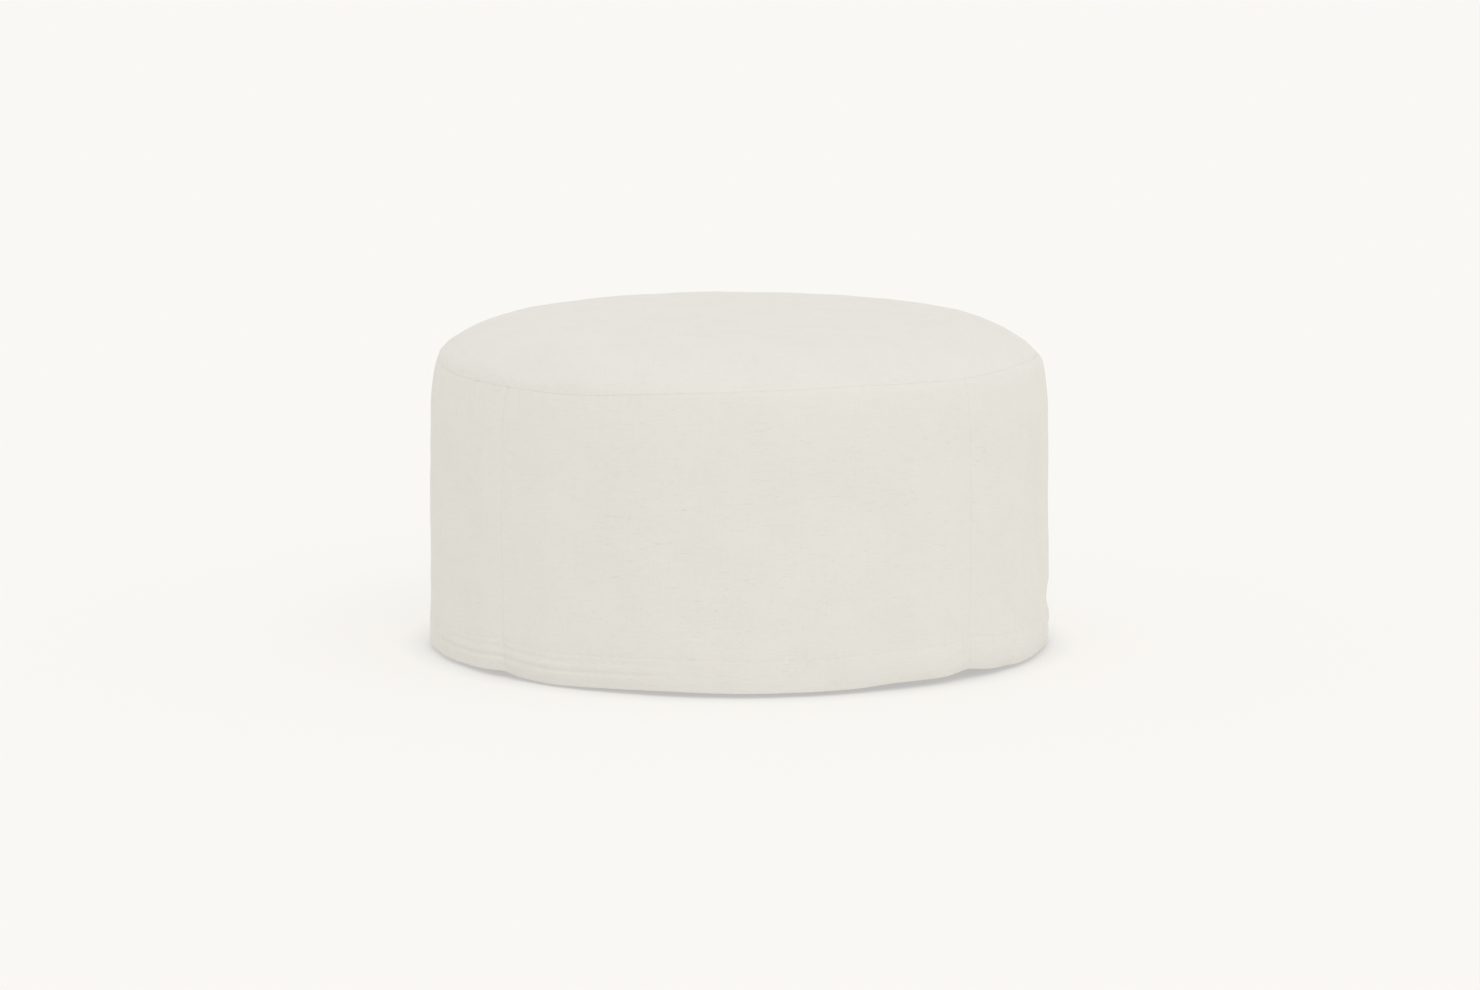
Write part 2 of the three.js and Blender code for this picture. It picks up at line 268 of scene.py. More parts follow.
class Weave(Effect):
    """Plain-woven threads with the thick places of spun flax, on a cloth's own flat pattern."""

    title = "Plain Weave"
    inlets = (
        ("Vector", "NodeSocketVector", None),
        ("Pitch", "NodeSocketFloat", 0.9 * MM),
        ("Slub", "NodeSocketFloat", 1.0),
    )
    outlets = ("Height", "Streak", "Slubs", "Cloud")

    @classmethod
    def wire(cls, bench: Bench, given: bpy.types.Node) -> dict[str, Socket]:
        """Crosses two sets of threads, then adds streaks along both and slow clouds."""
        vector, pitch, slub = (given.outputs[name] for name, _, _ in cls.inlets)
        wander = bench.span(bench.noise(vector, 90.0, 3.0), 0.3, 0.7, -0.45, 0.45)
        axes = bench.node("ShaderNodeSeparateXYZ", {0: vector})
        turns = []
        for axis in (0, 1):
            counted = bench.sum("DIVIDE", axes.outputs[axis], pitch)
            turns.append(bench.sum("MULTIPLY", bench.sum("ADD", counted, wander), math.pi))
        warp, weft = (bench.sum("SINE", turn) for turn in turns)
        over = bench.span(bench.sum("MULTIPLY", warp, weft), -0.25, 0.25)
        rise = [bench.sum("ABSOLUTE", thread) for thread in (warp, weft)]
        warp_top = bench.sum("MULTIPLY", over, rise[0])
        weft_top = bench.sum("MULTIPLY", bench.sum("SUBTRACT", 1.0, over), rise[1])
        threads = bench.sum("ADD", warp_top, weft_top)

        across = bench.noise(bench.stretched(vector, (34.0, 430.0, 1.0)), 1.0, 3.0, 0.6)
        fine_across = bench.noise(bench.stretched(vector, (120.0, 900.0, 1.0)), 1.0, 2.0, 0.6)
        upright = bench.noise(bench.stretched(vector, (420.0, 15.0, 1.0)), 1.0, 3.0, 0.6)
        thick = bench.span(across, 0.61, 0.74)
        knots = bench.span(fine_across, 0.65, 0.78)
        thick_upright = bench.span(upright, 0.62, 0.76)
        lumps = bench.sum("ADD", bench.sum("ADD", thick, knots), bench.sum("MULTIPLY", thick_upright, 0.6))
        height = bench.sum("ADD", bench.sum("MULTIPLY", threads, 0.13), bench.sum("MULTIPLY", lumps, slub))

        even = bench.sum("ADD", bench.sum("MULTIPLY", across, 0.52), bench.sum("MULTIPLY", fine_across, 0.20))
        even = bench.sum("ADD", even, bench.sum("MULTIPLY", upright, 0.28))
        streak = bench.span(even, 0.41, 0.59)
        cloud = bench.span(bench.noise(vector, 13.0, 3.0, 0.55), 0.32, 0.68)
        return {"Height": height, "Streak": streak, "Slubs": lumps, "Cloud": cloud}


class Mottle(Effect):
    """Slow blotches and fine specks through a solid material."""

    title = "Mottle"
    inlets = (("Vector", "NodeSocketVector", None), ("Size", "NodeSocketFloat", 0.01))
    outlets = ("Blotch", "Speck")

    @classmethod
    def wire(cls, bench: Bench, given: bpy.types.Node) -> dict[str, Socket]:
        """Reads the same noise at two sizes."""
        each = bench.sum("DIVIDE", 1.0, given.outputs["Size"])
        scaled = bench.node("ShaderNodeVectorMath", {0: given.outputs["Vector"]}, operation="SCALE")
        bench.feed(scaled.inputs["Scale"], each)
        blotch = bench.span(bench.noise(scaled.outputs[0], 1.0, 3.0), 0.32, 0.68)
        speck = bench.span(bench.noise(scaled.outputs[0], 9.0, 4.0, 0.7), 0.35, 0.68)
        return {"Blotch": blotch, "Speck": speck}


class Grain(Effect):
    """Growth rings and fibres that run along a timber's local X."""

    title = "Wood Grain"
    inlets = (("Vector", "NodeSocketVector", None), ("Ring", "NodeSocketFloat", 0.006))
    outlets = ("Rings", "Fibre")

    @classmethod
    def wire(cls, bench: Bench, given: bpy.types.Node) -> dict[str, Socket]:
        """Bends a ramp across the timber with slow noise, and draws fibres out along it."""
        vector = given.outputs["Vector"]
        axes = bench.node("ShaderNodeSeparateXYZ", {0: vector})
        slow = bench.noise(bench.stretched(vector, (4.0, 22.0, 22.0)), 1.0, 3.0)
        lifted = bench.sum("MULTIPLY_ADD", slow, 0.045, axes.outputs[1])
        counted = bench.sum("DIVIDE", lifted, given.outputs["Ring"])
        saw = bench.sum("FRACT", bench.sum("ADD", counted, bench.sum("MULTIPLY", axes.outputs[2], 22.0)))
        rings = bench.sum("MULTIPLY", bench.span(saw, 0.0, 0.75), bench.span(saw, 1.0, 0.86))
        fibre = bench.noise(bench.stretched(vector, (60.0, 1400.0, 1400.0)), 1.0, 3.0, 0.65)
        return {"Rings": rings, "Fibre": bench.span(fibre, 0.3, 0.7)}


# ---------------------------------------------------------------------------------------------
# Finishes
# ---------------------------------------------------------------------------------------------

Colour = tuple[float, float, float]


class Pattern(Enum):
    """What a finish's texture follows."""

    CUT = "the cloth's own flat pattern, in metres"
    SOLID = "the piece's place in the object"


@dataclass(frozen=True)
class Finish:
    """A surface, as a material that is made the first time it is wanted."""

    title: str
    light: Colour
    dark: Colour
    roughness: float = 0.8
    pattern: Pattern = Pattern.SOLID

    def material(self) -> Material:
        """Returns the material."""
        name = f"{self.title}_finish"
        made = bpy.data.materials.get(name)
        if made is None:
            made = bpy.data.materials.new(name)
            made.use_nodes = True
            made.diffuse_color = (*self.light, 1.0)
            tree = made.node_tree
            tree.nodes.clear()
            bench = Bench(tree)
            surface = bench.node("ShaderNodeBsdfPrincipled", {"Roughness": self.roughness})
            output = bench.node("ShaderNodeOutputMaterial")
            tree.links.new(surface.outputs[0], output.inputs["Surface"])
            source = bench.node("ShaderNodeTexCoord")
            vector = source.outputs["UV" if self.pattern is Pattern.CUT else "Object"]
            self.wire(bench, surface.inputs, vector)
        return made

    def wire(self, bench: Bench, surface: bpy.types.NodeInputs, vector: Socket) -> None:
        """Feeds the surface's colour, roughness and normal."""
        raise NotImplementedError

    def dress(self, *pieces: Object) -> None:
        """Gives the material to every slot of each piece."""
        for piece in pieces:
            if not piece.data.materials:
                piece.data.materials.append(self.material())
            for index in range(len(piece.data.materials)):
                piece.data.materials[index] = self.material()


@dataclass(frozen=True)
class Woven(Finish):
    """Woven cloth: its thread pitch, its slubs, and how deep its threads stand."""

    roughness: float = 0.92
    pattern: Pattern = Pattern.CUT
    pitch: float = 0.9 * MM
    slub: float = 0.8
    depth: float = 0.10 * MM
    cloud: float = 0.20
    fuzz: float = 0.12

    def wire(self, bench: Bench, surface: bpy.types.NodeInputs, vector: Socket) -> None:
        """Colours the cloth by its streaks and clouds, and stands its threads up."""
        woven = Weave.place(bench, vector=vector, pitch=self.pitch, slub=self.slub)
        slow = bench.sum("MULTIPLY_ADD", woven["Cloud"], self.cloud, 0.50 - self.cloud / 2.0)
        even = bench.sum("MULTIPLY_ADD", woven["Streak"], 0.50, slow)
        tone = bench.sum("MULTIPLY_ADD", woven["Slubs"], -0.35, even)
        bench.feed(surface["Base Color"], bench.blend(tone, self.dark, self.light))
        bench.feed(surface["Roughness"], bench.span(woven["Streak"], 0.0, 1.0, self.roughness, 0.84))
        bench.feed(surface["Normal"], bench.relief(woven["Height"], self.depth))
        surface["Sheen Weight"].default_value = self.fuzz
        surface["Sheen Roughness"].default_value = 0.6
        surface["Specular IOR Level"].default_value = 0.25


@dataclass(frozen=True)
class Fibrous(Finish):
    """Felted, foamed or pressed stuff: specks of one size through its depth."""

    roughness: float = 0.95
    size: float = 0.012
    depth: float = 0.4 * MM

    def wire(self, bench: Bench, surface: bpy.types.NodeInputs, vector: Socket) -> None:
        """Colours and roughens the stuff by its blotches and specks."""
        mottle = Mottle.place(bench, vector=vector, size=self.size)
        half = bench.sum("MULTIPLY", mottle["Blotch"], 0.5)
        tone = bench.sum("MULTIPLY_ADD", mottle["Speck"], 0.5, half)
        bench.feed(surface["Base Color"], bench.blend(tone, self.dark, self.light))
        bench.feed(surface["Roughness"], bench.span(mottle["Speck"], 0.0, 1.0, self.roughness, 0.85))
        bench.feed(surface["Normal"], bench.relief(mottle["Speck"], self.depth))
        surface["Specular IOR Level"].default_value = 0.3


@dataclass(frozen=True)
class Timber(Finish):
    """Sawn or turned wood, with its grain turned to run the way the piece was cut."""

    roughness: float = 0.6
    ring: float = 0.006
    turned: tuple[float, float, float] = (0.0, 0.0, 0.0)
    varnish: float = 0.0
    fibre_roughness: float = 0.14

    def wire(self, bench: Bench, surface: bpy.types.NodeInputs, vector: Socket) -> None:
        """Colours the wood by its rings and fibres."""
        mapping = bench.node("ShaderNodeMapping", {"Vector": vector, "Rotation": self.turned})
        grain = Grain.place(bench, vector=mapping.outputs[0], ring=self.ring)
        faint = bench.sum("MULTIPLY", grain["Fibre"], 0.4)
        tone = bench.sum("MULTIPLY_ADD", grain["Rings"], 0.6, faint)
        bench.feed(surface["Base Color"], bench.blend(tone, self.light, self.dark))
        rough = bench.span(grain["Fibre"], 0.0, 1.0, self.roughness, self.roughness + self.fibre_roughness)
        bench.feed(surface["Roughness"], rough)
        bench.feed(surface["Normal"], bench.relief(grain["Fibre"], 0.05 * MM))
        surface["Coat Weight"].default_value = self.varnish
        surface["Coat Roughness"].default_value = 0.25


@dataclass(frozen=True)
class Layered(Timber):
    """Plywood: grain on its faces, and its bare layers on every upright edge."""

    veneer: float = 1.5 * MM

    def wire(self, bench: Bench, surface: bpy.types.NodeInputs, vector: Socket) -> None:
        """Colours the faces as timber and the edges in bands."""
        super().wire(bench, surface, vector)
        face = surface["Base Color"].links[0].from_socket
        height = bench.node("ShaderNodeSeparateXYZ", {0: vector}).outputs[2]
        counted = bench.sum("FRACT", bench.sum("DIVIDE", height, 2.0 * self.veneer))
        bands = bench.sum("MULTIPLY", bench.span(counted, 0.42, 0.5), bench.span(counted, 1.0, 0.93))
        layers = bench.blend(bands, self.light, tuple(0.45 * part for part in self.dark))
        facing = bench.node("ShaderNodeNewGeometry").outputs["Normal"]
        upright = bench.node("ShaderNodeSeparateXYZ", {0: facing}).outputs[2]
        edge = bench.span(bench.sum("ABSOLUTE", upright), 0.6, 0.3)
        bench.feed(surface["Base Color"], bench.blend(edge, face, layers))


@dataclass(frozen=True)
class Plated(Finish):
    """Plated steel, with the faint spangle and rub marks of loose fasteners."""

    roughness: float = 0.32

    def wire(self, bench: Bench, surface: bpy.types.NodeInputs, vector: Socket) -> None:
        """Sets the metal and varies its colour and gloss."""
        mottle = Mottle.place(bench, vector=vector, size=2.5 * MM)
        bench.feed(surface["Base Color"], bench.blend(mottle["Blotch"], self.dark, self.light))
        bench.feed(surface["Roughness"], bench.span(mottle["Speck"], 0.0, 1.0, self.roughness, 0.5))
        bench.feed(surface["Normal"], bench.relief(mottle["Speck"], 0.02 * MM))
        surface["Metallic"].default_value = 1.0


@dataclass(frozen=True)
class Backdrop(Finish):
    """Matt studio paper, evened out by a glow of its dark colour, with a painted contact shadow: the glow
    dims to 0.8 of its strength near and under the ottoman.
    """

    # stand and clear: the radii over which the glow rises from 0.8 to full strength, painting a soft contact
    # shadow round the ottoman's base.
    stand: float = 0.405
    clear: float = 0.482

    def wire(self, bench: Bench, surface: bpy.types.NodeInputs, vector: Socket) -> None:
        """Sets the paper's colour and its glow, dimmed towards the ottoman as a painted contact shadow."""
        away = bench.node("ShaderNodeVectorMath", {0: vector}, operation="LENGTH").outputs["Value"]
        # Painted contact shadow: the glow is 0.8 inside stand and full outside clear.
        bench.feed(surface["Emission Strength"], bench.span(away, self.stand, self.clear, 0.80, 1.0))
        surface["Base Color"].default_value = (*self.light, 1.0)
        surface["Emission Color"].default_value = (*self.dark, 1.0)
        surface["Specular IOR Level"].default_value = 0.0


LINEN = Woven(
    "linen", (0.774, 0.755, 0.709), (0.736, 0.717, 0.673), slub=0.45, depth=0.50 * MM, cloud=0.30, fuzz=0.05
)
THREAD = Woven("linen_thread", (0.74, 0.715, 0.655), (0.62, 0.595, 0.53), pitch=0.4 * MM, depth=0.05 * MM)
CALICO = Woven("calico", (0.78, 0.73, 0.61), (0.70, 0.64, 0.51), pitch=0.6 * MM, slub=0.3, depth=0.06 * MM)
HESSIAN = Woven("hessian", (0.50, 0.36, 0.20), (0.24, 0.16, 0.08), pitch=2.2 * MM, depth=0.5 * MM)
JUTE = Woven("jute", (0.56, 0.43, 0.26), (0.36, 0.26, 0.14), pitch=2.0 * MM, depth=0.35 * MM)
CAMBRIC = Fibrous("cambric", (0.030, 0.030, 0.033), (0.014, 0.014, 0.016), 0.88, size=0.006, depth=0.12 * MM)
WADDING = Fibrous("wadding", (0.90, 0.90, 0.88), (0.72, 0.72, 0.70), size=0.020, depth=1.2 * MM)
FOAM = Fibrous("foam", (0.88, 0.80, 0.55), (0.66, 0.57, 0.33), size=0.009, depth=0.7 * MM)
FIBREBOARD = Fibrous("fibreboard", (0.42, 0.31, 0.19), (0.27, 0.19, 0.11), 0.85, size=0.008, depth=0.1 * MM)
NYLON = Fibrous("nylon", (0.82, 0.80, 0.75), (0.74, 0.72, 0.66), 0.5, size=0.004, depth=0.03 * MM)
PINE = Timber("pine", (0.74, 0.56, 0.31), (0.55, 0.34, 0.14), 0.7)
PINE_TURNED = Timber(
    "pine_turned", (0.74, 0.56, 0.31), (0.55, 0.34, 0.14), 0.7, turned=(0.0, 0.0, math.pi / 2)
)
PINE_POST = Timber("pine_post", (0.74, 0.56, 0.31), (0.55, 0.34, 0.14), 0.7, turned=(0.0, math.pi / 2, 0.0))
BIRCH_PLY = Layered("birch_ply", (0.72, 0.55, 0.33), (0.56, 0.38, 0.19), 0.62, ring=0.03)
BEECH = Timber(
    "beech", (0.27, 0.125, 0.055), (0.12, 0.048, 0.02), 0.36, ring=0.004,
    turned=(0.0, math.pi / 2, 0.0), varnish=0.35,
)
ZINC = Plated("zinc", (0.68, 0.70, 0.72), (0.50, 0.52, 0.53))


# ---------------------------------------------------------------------------------------------
# Meshes
# ---------------------------------------------------------------------------------------------


def mesh_object(name: str, points: Array, faces: Iterable, flat: Optional[Array] = None) -> Object:
    """Makes an object from points and faces.

    Args:
        name: the piece's name.
        points: its vertices, one row each.
        faces: lists of vertex numbers, anticlockwise from outside.
        flat: where each vertex lies on the flat cloth, in metres, for the UV map.

    Returns:
        The object, at the origin and smooth-shaded.
    """
    mesh = bpy.data.meshes.new(name)
    mesh.from_pydata(np.asarray(points, float).reshape(-1, 3).tolist(), [], list(faces))
    mesh.update()
    if flat is not None:
        corners = np.empty(len(mesh.loops), dtype=np.int32)
        mesh.loops.foreach_get("vertex_index", corners)
        layer = mesh.uv_layers.new(name="Cut")
        layer.data.foreach_set("uv", np.asarray(flat, float).reshape(-1, 2)[corners].ravel())
    mesh.polygons.foreach_set("use_smooth", [True] * len(mesh.polygons))
    piece = bpy.data.objects.new(name, mesh)
    bpy.context.scene.collection.objects.link(piece)
    return piece


def grid_faces(rows: int, columns: int, around: bool = False) -> list[tuple[int, int, int, int]]:
    """Returns the quads of a grid of points, row by row, whose rows close on themselves if around."""
    last = columns if around else columns - 1
    return [
        (
            row * columns + column,
            row * columns + (column + 1) % columns,
            (row + 1) * columns + (column + 1) % columns,
            (row + 1) * columns + column,
        )
        for row in range(rows - 1)
        for column in range(last)
    ]


def alone(piece: Object) -> None:
    """Makes a piece the only selected object, and the active one."""
    bpy.ops.object.select_all(action="DESELECT")
    piece.select_set(True)
    bpy.context.view_layer.objects.active = piece


def apply_modifiers(piece: Object) -> None:
    """Applies every modifier on a piece, in order."""
    alone(piece)
    for name in [modifier.name for modifier in piece.modifiers]:
        bpy.ops.object.modifier_apply(modifier=name)


def thicken(piece: Object, thickness: float) -> None:
    """Turns a cloth's outer face into a closed sheet of that thickness."""
    wall = piece.modifiers.new("cloth", "SOLIDIFY")
    wall.thickness = thickness
    wall.offset = -1.0
    wall.use_even_offset = False
    wall.use_rim = True
    apply_modifiers(piece)


def hand_in(piece: Object, slot: str, *nodes: str) -> Object:
    """Rides a finished piece on the one body, hides the CAD nodes it stands for and logs its face count."""
    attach(piece, "root")
    if nodes:
        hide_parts(*nodes)
    log.info("%s: %d faces", piece.name, len(piece.data.polygons))
    return piece


# ---------------------------------------------------------------------------------------------
# The outline the slipcover takes up
# ---------------------------------------------------------------------------------------------


@dataclass(frozen=True)
class Outline:
    """The outer face of the slipcover, as a profile that changes a little round the ottoman.

    A point is found by its azimuth and by its run, the length of cloth up from the hem.
    """

    hem_radius: float = 0.432
    shoulder_radius: float = 0.4295
    corner_radius: float = 0.419
    hem_height: float = 0.007
    shoulder_height: float = 0.324
    corner_height: float = 0.406
    top_height: float = 0.460
    shoulder_power: float = 2.2
    corner_softness: float = 0.005
    samples: int = 560
    crown_power: float = 8.0
    corner_drop: Ring = Ring(((-90, 3), (-40, 0), (0, 0), (45, -3), (90, -9), (135, -3), (180, 1)), 12)
    corner_reach: Ring = Ring(((-90, -1.5), (-30, 0), (20, 0), (60, 1.5), (90, 4), (135, 1), (180, 0)), 12)
    hem_lift: Ring = Ring(
        (
            (-110, -2), (-85, 0), (-70, -2), (-58, -1.5), (-52, 0.5), (-48.5, 2.5), (-44, -2), (-35, -4),
            (-23, -1.5), (-12, 0), (0, -1), (18, -1), (24, 0), (29, 2.5), (40, 2), (44, 5), (46.5, 8),
            (49, 4), (53, 0.8), (63, -2), (75, 0), (90, 0), (112, -2), (132, 1), (135, 4), (139, 1),
            (160, -2), (180, 1), (-160, -1), (-139, 1), (-135, 4), (-131, 0),
        ),
        1.3,
    )
    seam_slide: Ring = Ring(
        (
            (-120, -3), (-90, -6), (-67, -11), (-50, -10), (-32, -12), (-18, -4), (-6, 0), (8, 5),
            (22, 10), (34, 9), (45, 6), (60, 12), (75, 14), (90, 12), (120, 2), (150, -3), (180, 3),
            (-150, 4),
        ),
        5,
    )

    def profiles(self, azimuth: Array) -> tuple[Array, Array, Array]:
        """Traces the profile at each azimuth.

        Args:
            azimuth: one angle for each profile, in radians.

        Returns:
            The run, radius and height of every sample, a row for each azimuth.
        """
        columns = azimuth[:, None]
        corner_z = self.corner_height + self.corner_drop.at(columns)
        corner_r = self.corner_radius + self.corner_reach.at(columns)
        hem_z = self.hem_height + self.hem_lift.at(columns)

        wall = np.linspace(0.0, 1.0, 120)[None, :-1]
        wall_z = hem_z + (self.shoulder_height - hem_z) * wall
        wall_r = self.hem_radius + (self.shoulder_radius - self.hem_radius) * wall + 0.0 * hem_z

        curve = np.linspace(0.0, 1.0, 90)[None, :-1]
        curve_z = self.shoulder_height + (corner_z - self.shoulder_height) * curve
        curve_r = self.shoulder_radius + (corner_r - self.shoulder_radius) * curve**self.shoulder_power

        crown = np.sin(np.linspace(math.pi / 2, 0.0, 260))[None, :]
        crown_z = corner_z + (self.top_height - corner_z) * (1.0 - crown**self.crown_power)
        crown_r = corner_r * crown

        radius = np.concatenate([wall_r, curve_r, crown_r], axis=1)
        height = np.concatenate([wall_z, curve_z, crown_z], axis=1)
        step = np.hypot(np.diff(radius, axis=1), np.diff(height, axis=1))
        run = np.concatenate([np.zeros((len(azimuth), 1)), np.cumsum(step, axis=1)], axis=1)
        return self.evened(run, radius, height)

    def evened(self, run: Array, radius: Array, height: Array) -> tuple[Array, Array, Array]:
        """Resamples profiles at even runs and softens their corner, leaving both ends in place."""
        share = np.linspace(0.0, 1.0, self.samples)
        even = run[:, -1:] * share
        lines = []
        for line in (radius, height):
            table = np.stack([np.interp(at, along, values) for at, along, values in zip(even, run, line)])
            step = float(run[:, -1].mean()) / (self.samples - 1)
            reach = int(4 * self.corner_softness / step)
            kernel = np.exp(-0.5 * (np.arange(-reach, reach + 1) * step / self.corner_softness) ** 2)
            padded = np.pad(table, ((0, 0), (reach, reach)), mode="reflect", reflect_type="odd")
            lines.append(np.stack([np.convolve(row, kernel / kernel.sum(), "valid") for row in padded]))
        return even, lines[0], lines[1]

    @cached_property
    def table(self) -> tuple[Array, Array, Array, Array]:
        """The profiles at every half degree, and their azimuths."""
        azimuth = np.radians(np.arange(-180.0, 180.0, 0.5))
        return azimuth, *self.profiles(azimuth)

    def look_up(self, which: int, azimuth: Array, share: Array) -> Array:
        """Returns run, radius or height (1, 2 or 3) at each azimuth and share of the whole run."""
        table = self.table[which]
        count = len(table)
        turn = (np.asarray(azimuth) + math.pi) / (2.0 * math.pi) * count
        step = np.clip(share, 0.0, 1.0) * (self.samples - 1)
        left, low = np.floor(turn).astype(int), np.minimum(np.floor(step).astype(int), self.samples - 2)
        across, along = turn - left, step - low
        left, right = left % count, (left + 1) % count
        lower = table[left, low] * (1 - across) + table[right, low] * across
        upper = table[left, low + 1] * (1 - across) + table[right, low + 1] * across
        return lower * (1 - along) + upper * along

    def whole_run(self, azimuth: Array) -> Array:
        """Returns the length of the profile from the hem to the middle of the top."""
        return self.look_up(1, azimuth, np.ones(np.shape(azimuth)))

    def seam_run(self, azimuth: Array) -> Array:
        """Returns the run at which the side meets the top panel."""
        azimuth = np.asarray(azimuth)
        heights = self.table[3]
        level = self.corner_height + self.corner_drop.at(self.table[0])
        rows = zip(level, heights, self.table[1])
        corner = np.array([np.interp(z, row[:420], at[:420]) for z, row, at in rows])
        found = np.interp(np.degrees(azimuth), np.degrees(self.table[0]), corner, period=360.0)
        return found + self.seam_slide.at(azimuth)

    def point(self, azimuth: Array, run: Array, out: Array) -> Array:
        """Places points near the outline.

        Args:
            azimuth: each point's azimuth, in radians.
            run: its run up the profile.
            out: how far it stands out of the outline, or inside it if negative.

        Returns:
            Their coordinates, on the last axis.
        """
        whole = self.whole_run(azimuth)
        share = run / whole
        radius = self.look_up(2, azimuth, share)
        height = self.look_up(3, azimuth, share)
        nudge = 0.0012 / whole
        up_r = self.look_up(2, azimuth, share + nudge) - self.look_up(2, azimuth, share - nudge)
        up_z = self.look_up(3, azimuth, share + nudge) - self.look_up(3, azimuth, share - nudge)
        length = np.maximum(np.hypot(up_r, up_z), 1e-9)
        radius = radius + out * up_z / length
        height = height - out * up_r / length
        return np.stack([radius * np.sin(azimuth), -radius * np.cos(azimuth), height], axis=-1)


# ---------------------------------------------------------------------------------------------
# The slipcover
# ---------------------------------------------------------------------------------------------


class Side(Enum):
    """A side panel, by the azimuths of the seams at its two ends, in degrees."""

    FRONT = (-48.0, 46.5)
    RIGHT = (46.5, 135.0)
    BACK = (135.0, 225.0)
    LEFT = (225.0, 312.0)


@dataclass(frozen=True)
class Fold:
    """An edge of cloth turned back on its wrong side: a half-round bend, then a flat flap."""

    bend: float
    flap: float
    bend_steps: int = 6
    flap_steps: int = 3

    def trace(self) -> tuple[Array, Array, Array, Array]:
        """Follows the cloth from the start of the bend to the end of the flap.

        Returns:
            For each step, how far it is back from the edge before the flap, its depth under the
            outer face, its share of the flap, and the length of cloth from the start of the bend.
        """
        angle = np.linspace(0.0, math.pi, self.bend_steps + 1)[1:]
        share = np.linspace(0.0, 1.0, self.flap_steps + 1)[1:]
        back = np.concatenate([self.bend * (1.0 - np.sin(angle)), np.full(self.flap_steps, self.bend)])
        depth = np.concatenate([self.bend * (1.0 - np.cos(angle)), np.full(self.flap_steps, 2.0 * self.bend)])
        flap = np.concatenate([np.zeros(self.bend_steps), share])
        length = np.concatenate([self.bend * angle, math.pi * self.bend + self.flap * share])
        return back, depth, flap, length


